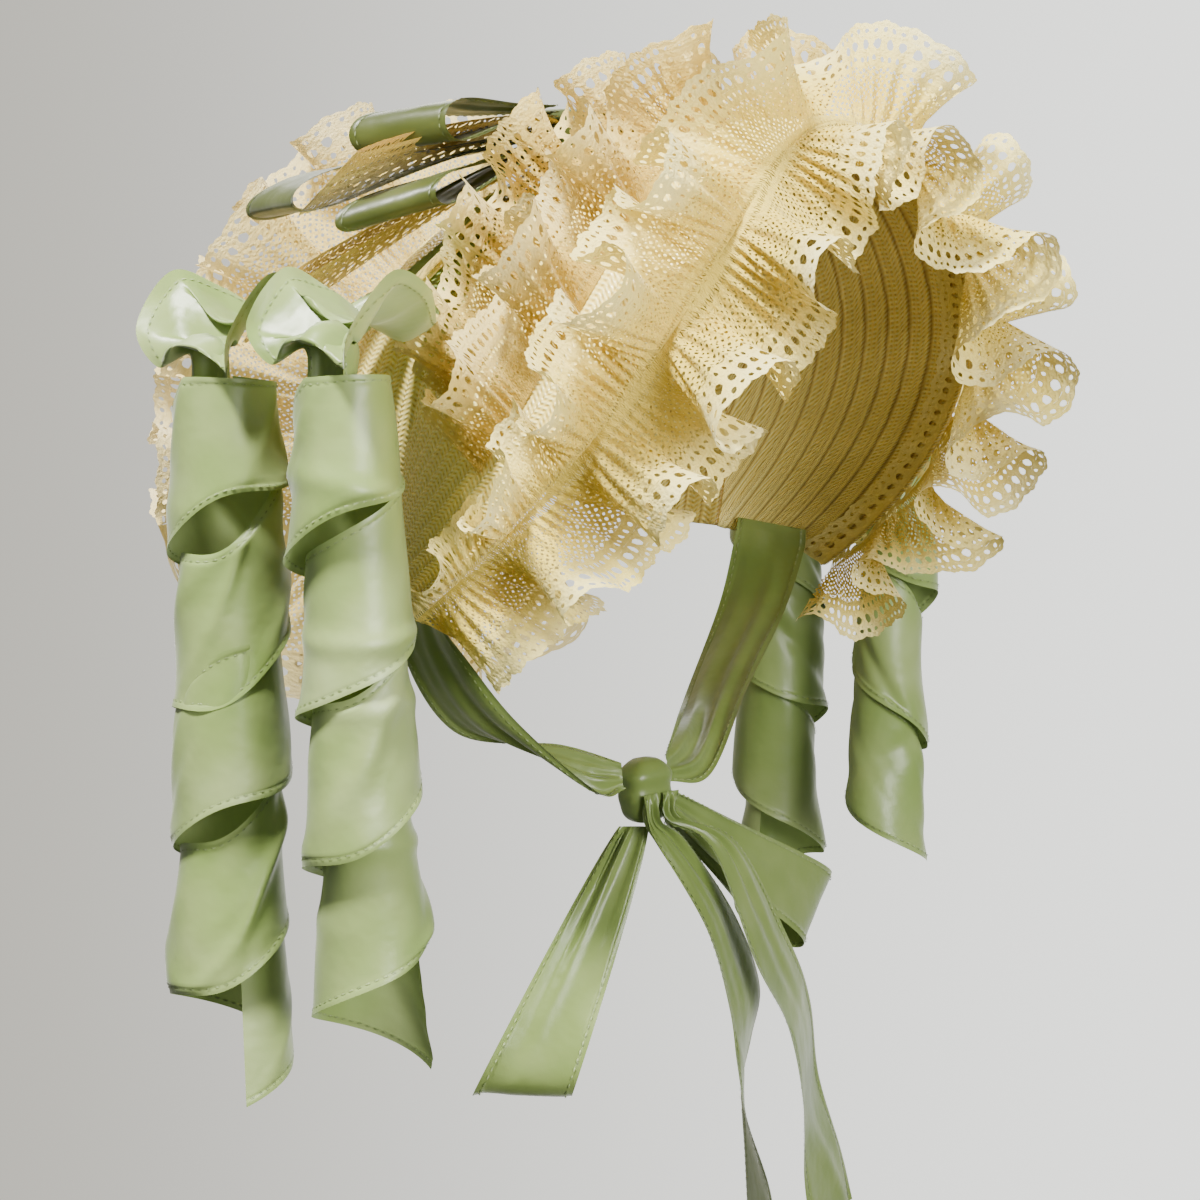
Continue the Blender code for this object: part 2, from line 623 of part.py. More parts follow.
def add_chin_ties(satin):
    """The ribbons from the brim's corners to the knot under the chin."""
    for side, word in ((-1, "right"), (1, "left")):
        seat, back = tie_seat(side)
        aside = CHIN_KNOT_ASIDE + side * (CHIN_KNOT_WIDTH / 2 + GAP + SATIN / 2)
        goal = np.array([aside, CHIN_KNOT_FORWARD, CHIN_KNOT_DROP + CHIN_KNOT_HEIGHT * TIE_END_SHARE])
        rows = [(*seat, *(back * TIE_SEAT_WIDTH))]
        for across, forward, down, width, width_aside, width_back, width_up in TIE_SECTIONS:
            centre = seat + (goal - seat) * np.array([across, forward, down])
            direction = unit(np.array([side * width_aside, width_back, width_up]))
            rows.append((*centre, *(direction * TIE_WIDTH * width)))
        read = smooth(rows, RIBBON_POINTS)
        sheet(f"chin_tie_{word}", ribbon_grid(read[:, :3], read[:, 3:], 0.0, 1), SATIN, satin)


def add_chin_bow(satin):
    """The knot under the chin, its two loops and its two free ends."""
    middle = np.array([CHIN_KNOT_ASIDE, CHIN_KNOT_FORWARD, CHIN_KNOT_DROP])
    size = (CHIN_KNOT_WIDTH, CHIN_KNOT_DEPTH, CHIN_KNOT_HEIGHT)
    knot("chin_knot", tuple(middle), size, CHIN_KNOT_EDGE, satin)
    for name, across, height, aside, back, up, *rest in CHIN_LOOPS:
        root = middle + (CHIN_KNOT_WIDTH * across, 0.0, CHIN_KNOT_HEIGHT * height)
        reach = CHIN_LOOP_LENGTH * np.array([aside, back, up])
        full = TIE_WIDTH * unit(np.array(rest[0:3]))
        narrow = CHIN_LOOP_ROOT_WIDTH * unit(np.array(rest[3:6]))
        away = unit(np.cross(reach, full))
        centres, opened = loop_centres(root, reach, away, away, CHIN_LOOP_OPENING * rest[6])
        widths = narrow * (1 - opened) + full * opened
        sheet(name, ribbon_grid(centres, widths, 0.0, 1), SATIN, satin)
    for name, across, sections in CHIN_TAILS:
        root = middle + (CHIN_KNOT_WIDTH * across, -CHIN_KNOT_DEPTH / 2 - GAP - SATIN / 2, 0.0)
        lower = root - (0, CHIN_KNOT_DEPTH * CHIN_TAIL_LIFT_SHARE, CHIN_KNOT_HEIGHT * CHIN_TAIL_SLIDE_SHARE)
        rows = [(*root, CHIN_TAIL_ROOT_WIDTH, 0.0, 0.0), (*lower, CHIN_TAIL_ROOT_WIDTH, 0.0, 0.0)]
        for aside, forward, down, width, turn in sections:
            centre = root + CHIN_TAIL_DROP * np.array([aside, -forward, -down])
            turned = math.radians(turn)
            direction = np.array([math.cos(turned), math.sin(turned), 0.0])
            rows.append((*centre, *(direction * TIE_WIDTH * width)))
        read = smooth(rows, RIBBON_POINTS)
        sheet(name, ribbon_grid(read[:, :3], read[:, 3:], 0.0, 1), SATIN, satin)


def main():
    """Builds the bonnet."""
    for old in list(bpy.data.objects):
        bpy.data.objects.remove(old)
    collection = bpy.data.collections.new("poke_bonnet")
    bpy.context.scene.collection.children.link(collection)
    straw = material("straw_braid", (0.70, 0.58, 0.28), 0.45)
    lace = material("cream_lace", (0.93, 0.89, 0.76), 0.85)
    olive = material("olive_satin", (0.30, 0.36, 0.20), 0.30)
    sage = material("sage_satin", (0.62, 0.72, 0.48), 0.30)
    add_crown(straw)
    add_brim(straw, lace)
    add_ruffles(lace)
    add_bow(olive, lace)
    add_curls(sage)
    add_chin_ties(sage)
    add_chin_bow(sage)


main()
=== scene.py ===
"""The poke bonnet's looks: braided straw, open gathered lace, satin ribbon and stitches, with camera and light."""

import math

import bpy
import numpy as np
from mathutils import Matrix


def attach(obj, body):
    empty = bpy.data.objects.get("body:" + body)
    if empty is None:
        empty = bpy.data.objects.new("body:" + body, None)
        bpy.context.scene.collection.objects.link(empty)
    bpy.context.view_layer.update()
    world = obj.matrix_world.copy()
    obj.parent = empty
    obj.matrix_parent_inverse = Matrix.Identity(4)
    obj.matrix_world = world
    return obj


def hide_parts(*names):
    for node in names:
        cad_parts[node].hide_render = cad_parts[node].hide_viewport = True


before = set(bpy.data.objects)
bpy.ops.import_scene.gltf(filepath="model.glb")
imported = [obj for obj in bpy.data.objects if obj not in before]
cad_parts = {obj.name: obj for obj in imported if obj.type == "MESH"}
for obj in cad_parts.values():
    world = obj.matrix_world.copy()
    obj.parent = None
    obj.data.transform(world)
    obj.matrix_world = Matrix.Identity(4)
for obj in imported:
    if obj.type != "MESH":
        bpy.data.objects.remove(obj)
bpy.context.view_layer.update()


def mirrored(*rows):
    """Rows of a table and the same rows again in reverse."""
    return rows + rows[::-1]


# Sizes of the solids, in metres. Only the second and third ruffle, the drapes and the upper loops of the bow are
# fuller here than as solids. The origin is inside the crown's top, the wearer faces -Y and their right is -X
STRAW = 0.002
LACE = 0.001
SATIN = 0.001
GAP = 0.0003
STAND_OFF = GAP + SATIN / 2
STEP = 0.001
CROWN_HALF_WIDTH = 0.086
CROWN_HEIGHT = 0.121
CROWN_DEPTH = 0.116
CROWN_FRONT = -0.005
CROWN_POWER = 2.4
CROWN_BACK_HEIGHT = 0.111
CROWN_FOOT_SET_BACK = 0.020
ARCH_END_ANGLE = 1.75
CROWN_END_SHARE = 0.995
EDGE_HALF_WIDTH = 0.0804
EDGE_FLARE_SHARE = 0.342
EDGE_TOP = 0.0225
EDGE_HEIGHT = 0.1537
EDGE_REACH = 0.1344
EDGE_DIP = 0.0508
EDGE_SWEEP = 0.1199
BRIM_BULGE = 0.008
STRAW_SET_BACK = 0.0027
BRIM_TO_CROWN = 0.0009
FRONT_LACE_WIDTH = 0.046
ROW_LACE_WIDTH = 0.040
REAR_LACE_WIDTH = 0.072
BAND_WIDTH = 0.014
LACE_SEAT = STRAW / 2 + GAP + LACE / 2
SECOND_ROW_SHARE = 0.33
THIRD_ROW_SHARE = 0.63
SECOND_ROW_END_ANGLE = 1.42
THIRD_ROW_END_ANGLE = 1.26
REAR_RING_SHARE = 0.78
REAR_SAG = 0.016
FRONT_INNER_LEAN = math.radians(-24)
FRONT_OUTER_LEAN = math.radians(118)
ROW_LEAN = math.radians(128)
REAR_LEAN = math.radians(120)

# The folds of each lace, the same on both sides: length, swing, outer width, inner width
FRONT_FOLDS = mirrored(
    (0.86, 1.40, 0.32, 0.86),
    (1.02, 1.62, 0.48, 0.96),
    (1.00, 1.72, 0.76, 1.00),
    (1.10, 1.70, 0.96, 1.00),
    (0.96, 1.62, 0.94, 1.00),
    (1.05, 1.50, 0.90, 0.84),
)
ROW_FOLDS = mirrored((0.92, 1.45, 0.80), (1.04, 1.62, 0.98), (0.98, 1.70, 1.00), (1.06, 1.66, 0.94))
REAR_FOLDS = mirrored(
    (1.00, 1.60, 1.00),
    (0.94, 1.68, 1.04),
    (1.06, 1.62, 0.98),
    (1.00, 1.70, 1.00),
    (0.96, 1.60, 1.02),
    (1.04, 1.66, 1.10),
)
BOW_SET_BACK = 0.013
BOW_KNOT_WIDTH = 0.022
BOW_KNOT_LENGTH = 0.030
BOW_KNOT_HEIGHT = 0.030
BOW_RIBBON_WIDTH = 0.040
BOW_LOOP_REACH = 0.110
BOW_SEAT = STRAW + GAP
BOW_ROOT_ASIDE = BOW_KNOT_WIDTH / 2 + STAND_OFF
BOW_ROOT_WIDTH = 0.017
BOW_ROOT_OPENING = 0.0024
BOW_LOOP_OPENING = 0.020
LOOP_ROUND_POWER = 0.6
LOOP_SPREAD_POWER = 0.7
BOW_FALL_SHARE = 0.12
BOW_DROOP = 0.012
# name, root, aside, back, width aside, width back, fall, opening
BOW_LOOPS = (
    ("bow_loop_upper", 0.91, 0.52, 0.00, 0.44, 0.78, 0.06, 0.85),
    ("bow_lace_upper", 0.77, 0.80, 0.14, 0.10, 0.94, 0.05, 0.12),
    ("bow_loop_rear", 0.63, 0.92, 0.34, -0.14, 0.96, 0.13, 0.70),
    ("bow_loop_front", 0.49, 0.58, -0.02, 0.50, 0.50, 0.28, 0.60),
    ("bow_lace_rear", 0.35, 0.92, 0.46, -0.20, 0.88, 0.36, 0.24),
    ("bow_lace_front", 0.20, 0.60, -0.16, 0.66, 0.60, 0.42, 0.24),
)
CURL_RIBBON_WIDTH = 0.058
CURL_TURN_HEIGHT = 0.056
CURL_FLARE = 0.0024
CURL_ASIDE = 0.147
CURL_TURN_POINTS = 10
CURL_START = math.radians(50)
# name, side, back, top, bottom, radius, lean in, and gaps between turns: (turn, height, width in radians)
CURLS = (
    ("right_front", -1, -0.034, -0.062, -0.326, 0.0195, 0.010, ((0, 0.013, 0.95), (1, 0.010, 0.8), (3, 0.003, 0.8))),
    ("right_rear", -1, 0.038, -0.066, -0.345, 0.0200, -0.004, ((0, 0.022, 1.0), (2, 0.014, 0.9))),
    ("left_front", 1, -0.034, -0.062, -0.288, 0.0155, 0.006, ((1, 0.010, 0.9),)),
    ("left_rear", 1, 0.038, -0.066, -0.330, 0.0190, -0.004, ((0, 0.012, 0.9), (2, 0.010, 0.9))),
)
DRAPE_SEAT = BOW_SEAT + SATIN / 2 + GAP
DRAPE_ROOT_WIDTH = 0.011
DRAPE_ROOT_SPREAD = 0.0075
DRAPE_WIDTH = 0.056
DRAPE_TUCK = 0.016
DRAPE_TUCK_START = 0.004
DRAPE_TUCK_HALF_TURN = math.radians(58)
# aside, back, height, width, bulge
DRAPE_SECTIONS = (
    (0.14, 0.03, 0.895, 0.22, 0.02),
    (0.34, 0.05, 0.59, 0.24, 0.04),
    (0.52, 0.17, 0.36, 0.40, 0.08),
    (0.70, 0.54, 0.20, 0.74, 0.14),
    (0.86, 0.86, 0.40, 1.10, 0.26),
    (1.02, 1.00, 0.50, 1.14, 0.32),
    (1.15, 1.00, 0.20, 1.08, 0.34),
    (1.12, 1.00, -0.02, 0.78, 0.30),
)
TIE_WIDTH = 0.038
CHIN_KNOT = np.array([-0.019, -0.053, -0.231])
CHIN_KNOT_SIZE = np.array([0.022, 0.016, 0.026])
TIE_END_SHARE = 0.26
TIE_SEAT_ANGLE = 1.69
TIE_SEAT_SHARE = 0.62
TIE_SEAT_WIDTH = 0.030
TIE_STAND_OFF = 0.0016
# aside, forward, down, width, width aside, width back, width up
TIE_SECTIONS = (
    (0.03, 0.02, 0.12, 0.80, -0.50, 0.85, 0.15),
    (0.14, 0.04, 0.42, 1.00, 0.00, 1.00, 0.00),
    (0.42, 0.24, 0.78, 0.98, 0.00, 0.98, -0.20),
    (0.78, 0.80, 0.96, 0.70, 0.00, 0.70, 0.60),
    (1.00, 1.00, 1.00, 0.28, 0.00, 0.10, 1.00),
)
CHIN_LOOP_LENGTH = 0.112
CHIN_LOOP_OPENING = 0.024
CHIN_LOOP_ROOT_WIDTH = 0.0114
# name, root across and up, reach aside, back and up, width aside, back and up, root width the same, opening
CHIN_LOOPS = (
    ("chin_loop_right", -0.26, -0.53, -0.46, 0.06, -0.88, 0.743, -0.669, 0.00, 0.743, -0.669, 0.0, 1.00),
    ("chin_loop_left", 0.536, -0.28, 0.84, 0.10, -0.55, -0.72, -0.26, -0.65, 0.0, 0.0, -1.0, 0.80),
)
CHIN_TAIL_DROP = 0.190
CHIN_TAIL_ROOT_WIDTH = 0.0085
CHIN_TAIL_LIFT_SHARE = 0.1
CHIN_TAIL_SLIDE_SHARE = 0.4
# name, root across, and rows of: aside, forward, down, width, turn in degrees
CHIN_TAILS = (
    ("chin_tail_right", -0.22, (
        (0.05, 0.012, 0.11, 0.46, 5), (0.17, 0.030, 0.29, 0.85, 25), (0.24, 0.030, 0.46, 1.00, 26),
        (0.25, 0.020, 0.58, 1.00, 36), (0.26, 0.010, 0.70, 1.00, 48), (0.30, 0.010, 0.86, 1.00, 60),
        (0.32, 0.010, 1.00, 1.00, 64),
    )),
    ("chin_tail_left", 0.24, (
        (0.10, 0.056, 0.12, 0.46, 10), (0.24, 0.060, 0.37, 0.90, 20), (0.33, 0.050, 0.52, 1.00, 30),
        (0.38, 0.040, 0.70, 1.00, 34), (0.43, 0.030, 0.88, 1.00, 20), (0.46, 0.030, 1.00, 1.00, 16),
    )),
)

# What only the scene has. Straw: rows of braid that lie like tiles, and the slanting strands in them
BRAID_ROW = 0.0112
BRAID_TILT = 0.0018
BRAID_CROWN = 0.00035
BRIM_MEAN_DEPTH = 0.118
STRAND_PITCH = 0.0021
STRAND_SLANT = 0.0046
STRAND_CROSSINGS = 4
STRAW_SHADES = (
    (0.12, (0.44, 0.29, 0.05)),
    (0.30, (0.80, 0.60, 0.13)),
    (0.52, (0.93, 0.76, 0.22)),
    (0.86, (0.99, 0.92, 0.46)),
)
CROWN_LAP = 0.02
# Lace: its repeat and net, the uneven edge, the pleats at its stitches, and the share of its length that is cut
LACE_REPEAT = 0.0096
LACE_CELL = 0.0032
LACE_HEADER = 0.0072
LACE_FAN = 0.0172
LACE_UNEVEN = 0.00017
SCALLOP = 0.0013
PICOT = 0.0006
PLEAT_PITCH = 0.011
PLEAT_DEPTH = 0.0012
EDGE_CURL = 0.0040
FOLD_DEPTH = 1.10
CUT_SHARE = 0.90
BAND_STAND_OFF = 0.0006
# Ribbon: stitches, the places of the points across a hem, and how the curls, loops and knots differ
STITCH_PITCH = 0.0034
STITCH_LENGTH = 0.0023
STITCH_WIDTH = 0.0006
STITCH_HEIGHT = 0.0004
STITCH_LIFT = 0.00015
HEM = 0.0032
HEM_ROWS = (0.0, 0.0010, 0.0020, 0.0026, HEM, 0.0038, 0.0050)
HEM_INNER = 0.0075
STITCHED_COLUMN = 3
CURL_RIM_TURN = 0.5
CURL_RIM_DROP = 0.005
CURL_GAP_TURN = math.radians(48)
LACE_LOOP_WIDTH = 0.030
LACE_LOOP_TURN = 0.55
SATIN_THROUGH = 0.12
BOW_GATHER = 0.0008
TIE_GATHER = 0.0012
LOOP_GATHER = 0.0014
DRAPE_PINCH = 0.0016
# How far its soft waves and its creases push each kind of ribbon out
LOOP_CREASES = (0.0006, 0.0004)
TIE_CREASES = (0.0006, 0.0005)
TAIL_CREASES = (0.0009, 0.0005)
DRAPE_CREASES = (0.0013, 0.0014)
CURL_CREASES = (0.0014, 0.0015)
KNOT_POWER = 2 / 3.4

# The camera looks at the bonnet from its front right side: across the picture, up it and into it
RIGHT = np.array([0.743, -0.669, 0.0])
UP = np.array([0.093, 0.103, 0.990])
AWAY = np.array([0.663, 0.736, -0.139])
CAMERA_TARGET = np.array([0, 0, -0.115]) + 0.004 * RIGHT - 0.0488 * UP
CAMERA_DISTANCE = 1.1
CAMERA_LENS = 82.5
CAMERA_FILM = 36
LIGHT_TARGET = np.array([0, 0, -0.12])
# name, place, size, energy, colour
LIGHTS = (
    ("key", (-0.80, -0.25, 1.35), 0.25, 98, (1.0, 0.985, 0.95)),
    ("fill", (-0.25, -1.7, 0.15), 0.7, 40, (1.0, 0.99, 0.96)),
    ("back", (0.6, 1.2, 0.9), 0.8, 14, (1.0, 0.98, 0.95)),
)


def unit(vectors):
    """Vectors of length one."""
    return vectors / np.maximum(np.linalg.norm(vectors, axis=-1, keepdims=True), 1e-12)


def distances(line):
    """Each point's distance along a line from its start."""
    return np.concatenate([[0], np.cumsum(np.linalg.norm(np.diff(line, axis=0), axis=1))])


def read_line(at, places, rows):
    """Rows of three numbers, read between their places."""
    return np.stack([np.interp(at, places, rows[:, k]) for k in range(3)], axis=-1)


def phase(random):
    """A random start for a wave, somewhere in its full turn."""
    return random.uniform(0, 6.3)


def ripples(places, first, step, random):
    """Three waves added up, each finer and lower than the last."""
    return sum(np.sin(places * (first + step * k) + phase(random)) / (1 + k) for k in range(3))


def surface_at(points, angle, share):
    """A surface's points at angles and shares, with its directions backward and outward there."""
    along = points(angle + STEP, share) - points(angle - STEP, share)
    back = points(angle, share + STEP) - points(angle, share)
    return points(angle, share), back, unit(np.cross(along, back))


def smooth(table, count):
    """The rows of a table, read evenly from a smooth curve through them."""
    rows = np.array(table, float)
    padded = np.vstack([2 * rows[0] - rows[1], rows, 2 * rows[-1] - rows[-2]])
    place = np.linspace(0, len(rows) - 1, count)
    first = np.minimum(place.astype(int), len(rows) - 2)
    f = (place - first)[:, None]
    a, b, c, d = (padded[first + k] for k in range(4))
    return 0.5 * (2 * b + (c - a) * f + (2 * a - 5 * b + 4 * c - d) * f**2 + (3 * b - a - 3 * c + d) * f**3)


def make_piece(name, points, faces, surface, slot, replaces=(), uv=None):
    """A mesh piece that rides on the one body. Faces are an array of quads or triangles, or a list of both."""
    mesh = bpy.data.meshes.new(name)
    points = np.asarray(points, float).reshape(-1, 3)
    groups = faces if isinstance(faces, list) else [faces]
    mesh.vertices.add(len(points))
    mesh.vertices.foreach_set("co", points.ravel())
    corners = np.concatenate([g.ravel() for g in groups])
    sizes = np.concatenate([np.full(len(g), g.shape[1]) for g in groups])
    mesh.loops.add(len(corners))
    mesh.loops.foreach_set("vertex_index", corners.astype(np.int32))
    mesh.polygons.add(len(sizes))
    starts = np.concatenate([[0], np.cumsum(sizes)[:-1]])
    mesh.polygons.foreach_set("loop_start", starts.astype(np.int32))
    mesh.polygons.foreach_set("loop_total", sizes.astype(np.int32))
    mesh.update(calc_edges=True)
    mesh.validate()
    mesh.materials.append(surface)
    mesh.shade_smooth()
    if uv is not None:
        layer = mesh.uv_layers.new(name="UVMap")
        layer.data.foreach_set("uv", np.asarray(uv, float)[corners].ravel())
    made = bpy.data.objects.new(name, mesh)
    bpy.context.scene.collection.objects.link(made)
    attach(made, "root")
    if replaces:
        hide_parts(*replaces)
    return made


def grid_faces(rows, columns, closed=False):
    """Quads between the points of a grid."""
    last = rows if closed else rows - 1
    i, j = np.meshgrid(np.arange(last), np.arange(columns - 1), indexing="ij")
    i, j = i.ravel(), j.ravel()
    after = (i + 1) % rows
    return np.stack([i * columns + j, after * columns + j, after * columns + j + 1, i * columns + j + 1], axis=1)


def grid_normals(grid):
    """The normals of a grid of points."""
    return unit(np.cross(np.gradient(grid, axis=0), np.gradient(grid, axis=1)))


def grid_uv(grid):
    """Each point's distance along and across a grid, in metres."""
    along = np.linalg.norm(np.diff(grid, axis=0), axis=2)
    across = np.linalg.norm(np.diff(grid, axis=1), axis=2)
    u = np.vstack([np.zeros(grid.shape[1]), np.cumsum(along.mean(1))[:, None] * np.ones(grid.shape[1])])
    v = np.hstack([np.zeros((grid.shape[0], 1)), np.cumsum(across, axis=1)])
    return np.stack([u, v - v[:, -1:] / 2], axis=-1).reshape(-1, 2)


def on_grid(grid, u, v):
    """Points of a grid's surface at shares u along and v across it."""
    rows, columns = grid.shape[:2]
    x = np.clip(u, 0, 1) * (rows - 1)
    y = np.clip(v, 0, 1) * (columns - 1)
    i = np.minimum(x.astype(int), rows - 2)
    j = np.minimum(y.astype(int), columns - 2)
    f, g = (x - i)[:, None], (y - j)[:, None]
    top = grid[i, j] * (1 - f) + grid[i + 1, j] * f
    low = grid[i, j + 1] * (1 - f) + grid[i + 1, j + 1] * f
    return top * (1 - g) + low * g


def crown_points(angle, share):
    """Points of the crown's middle surface: angle from the top, share of the depth from the front."""
    closing = (1 - np.maximum(share, 0) ** CROWN_POWER) ** (1 / CROWN_POWER)
    arch = STRAW / 2 - CROWN_HEIGHT * (1 - np.cos(angle))
    x = closing * CROWN_HALF_WIDTH * np.sin(angle)
    z = -CROWN_BACK_HEIGHT + closing * (arch + CROWN_BACK_HEIGHT)
    foot = CROWN_FOOT_SET_BACK * (1 - np.cos(angle)) / (1 - math.cos(ARCH_END_ANGLE))
    y = CROWN_FRONT + foot * (1 - share) + CROWN_DEPTH * share
    return np.stack([x, y, z], axis=-1)


def edge_points(angle):
    """The line of stitches along the brim's edge."""
    drop = 1 - np.cos(angle)
    x = EDGE_HALF_WIDTH * np.sin(angle) * (1 + EDGE_FLARE_SHARE * drop)
    y = -EDGE_REACH - EDGE_DIP * drop + EDGE_SWEEP * drop**2
    z = EDGE_TOP - EDGE_HEIGHT * drop
    return np.stack([x, y, z], axis=-1)


def brim_flat(angle, share):
    """The brim before it bulges, straight from its edge to the crown."""
    edge = edge_points(angle)
    return edge + (crown_points(angle, np.zeros_like(angle)) - edge) * np.expand_dims(share, -1)


def brim_points(angle, share):
    """Points of the brim's middle surface: share 0 at the stitches of the edge and 1 at the crown."""
    along = brim_flat(angle + STEP, share) - brim_flat(angle - STEP, share)
    back = brim_flat(angle, np.ones_like(share)) - brim_flat(angle, np.zeros_like(share))
    outward = unit(np.cross(along, back))
    return brim_flat(angle, share) + outward * np.expand_dims(BRIM_BULGE * 4 * share * (1 - share), -1)


def brim_share(angle, distance):
    """The share of the brim that lies this far from its edge."""
    one = np.ones_like(angle)
    return distance / np.linalg.norm(brim_flat(angle, one) - brim_flat(angle, 0 * one), axis=-1)


class Seam:
    """A line of stitches, with its directions forward and outward, read by the share of its length."""

    def __init__(self, points, forward, outward):
        places = distances(points)
        self.length = places[-1]
        self.share = places / self.length
        self.points = points
        self.outward = unit(outward)
        along = unit(np.gradient(points, axis=0))
        across = forward - along * np.sum(forward * along, axis=1, keepdims=True)
        across = across - self.outward * np.sum(across * self.outward, axis=1, keepdims=True)
        self.forward = unit(across)

    def read(self, rows, share):
        """One of the seam's columns at each share."""
        return read_line(share, self.share, rows)


def brim_seam(share, end, lift):
    """A seam on the brim, lifted off its middle surface."""
    angle = np.linspace(-end, end, 321)
    points, back, outward = surface_at(brim_points, angle, np.full_like(angle, share))
    return Seam(points + outward * lift, -back, outward)


def rear_seam():
    """The closed seam of the rear ring: over the crown, and across the nape below it."""
    angle = np.linspace(-ARCH_END_ANGLE, ARCH_END_ANGLE, 241)
    points, _, outward = surface_at(crown_points, angle, np.full_like(angle, REAR_RING_SHARE))
    arch = points + outward * LACE_SEAT
    turn = np.linspace(0, math.pi, 82)[1:-1, None]
    nape = arch[-1] + (arch[0] - arch[-1]) * (1 - np.cos(turn)) / 2
    nape[:, 2] -= REAR_SAG * np.sin(turn[:, 0])
    ring = np.vstack([arch, nape, arch[:1]])
    radial = ring - np.array([0.0, 0.0, ring[:, 2].mean()])
    radial[:, 1] = 0.0
    along = unit(np.gradient(ring, axis=0))
    radial = radial - along * np.sum(radial * along, axis=1, keepdims=True)
    return Seam(ring, np.tile([0.0, -1.0, 0.0], (len(ring), 1)), radial)


def fold_line(folds, points=48, steps=6):
    """The free edge of the lace laid out flat: see frill."""
    table = np.array(folds, float)
    lengths = table[:, 0] / table[:, 0].sum()
    place = (np.arange(len(folds) * points * steps) + 0.5) / (points * steps)
    fold = place.astype(int)
    heading = FOLD_DEPTH * table[fold, 1] * np.sin(2 * np.pi * place)
    step = lengths[fold] / (points * steps)
    along = np.concatenate([[0], np.cumsum(step * np.cos(heading))])[::steps]
    aside = np.concatenate([[0], np.cumsum(step * np.sin(heading))])[::steps]
    lace = np.concatenate([[0], np.cumsum(step)])[::steps]
    middle = np.arange(len(folds)) + 0.5
    knots = np.arange(len(along)) / points
    widths = np.stack([np.interp(knots, middle, table[:, k]) for k in range(2, table.shape[1])], axis=-1)
    return lace, along / along[-1], aside - aside.mean(), along[-1], widths


def frill(seam, folds, width, lean, turn, column, seed, shares=17):
    """A fine grid of a gathered lace, from the seam to its free edge, with pleats pressed in by the stitches."""
    lace, edge_share, aside, gathered_share, widths = fold_line(folds)
    lace_length = seam.length / gathered_share
    random = np.random.default_rng(seed)
    grid = []
    for share in np.linspace(0, 1, shares):
        at = lace * (1 - share) + edge_share * share
        swing = (lean + turn * aside * lace_length / width)[:, None]
        away = unit(np.cos(swing) * seam.read(seam.forward, at) + np.sin(swing) * seam.read(seam.outward, at))
        grid.append(seam.read(seam.points, at) + away * (share * width * widths[:, column])[:, None])
    grid = np.stack(grid, axis=1)
    share = np.linspace(0, 1, shares)[None, :]
    wave = ripples(2 * np.pi * lace, round(lace_length / PLEAT_PITCH), 7, random)
    press = share * (1 - share) ** 2 * 6.75
    curl = np.sin(2 * np.pi * lace * len(folds) * 2.6 + phase(random))
    lift = PLEAT_DEPTH * wave[:, None] * press + EDGE_CURL * curl[:, None] * share**2
    grid = grid + grid_normals(grid) * (lift * np.minimum(1, share * 8))[..., None]
    return grid, width * widths[:, column], lace_length * CUT_SHARE


def oval(centre, half_u, half_e, tilt=0.0, count=8):
    """Points of an oval hole."""
    angle = np.arange(count) * 2 * np.pi / count
    u, e = half_u * np.cos(angle), half_e * np.sin(angle)
    c, s = math.cos(tilt), math.sin(tilt)
    return np.stack([centre[0] + c * u - s * e, centre[1] + s * u + c * e], axis=-1)


def box_round(u0, u1, e0, e1):
    """The eight points of a rectangle that match an oval's."""
    um, em = (u0 + u1) / 2, (e0 + e1) / 2
    return np.array([(u1, em), (u1, e1), (um, e1), (u0, e1), (u0, em), (u0, e0), (um, e0), (u1, e0)])


def ring_quads(outer, inner):
    """Quads between an outline and its hole."""
    after = np.arange(1, len(outer) + 1) % len(outer)
    return np.stack([outer, outer[after], inner[after], inner], axis=1)


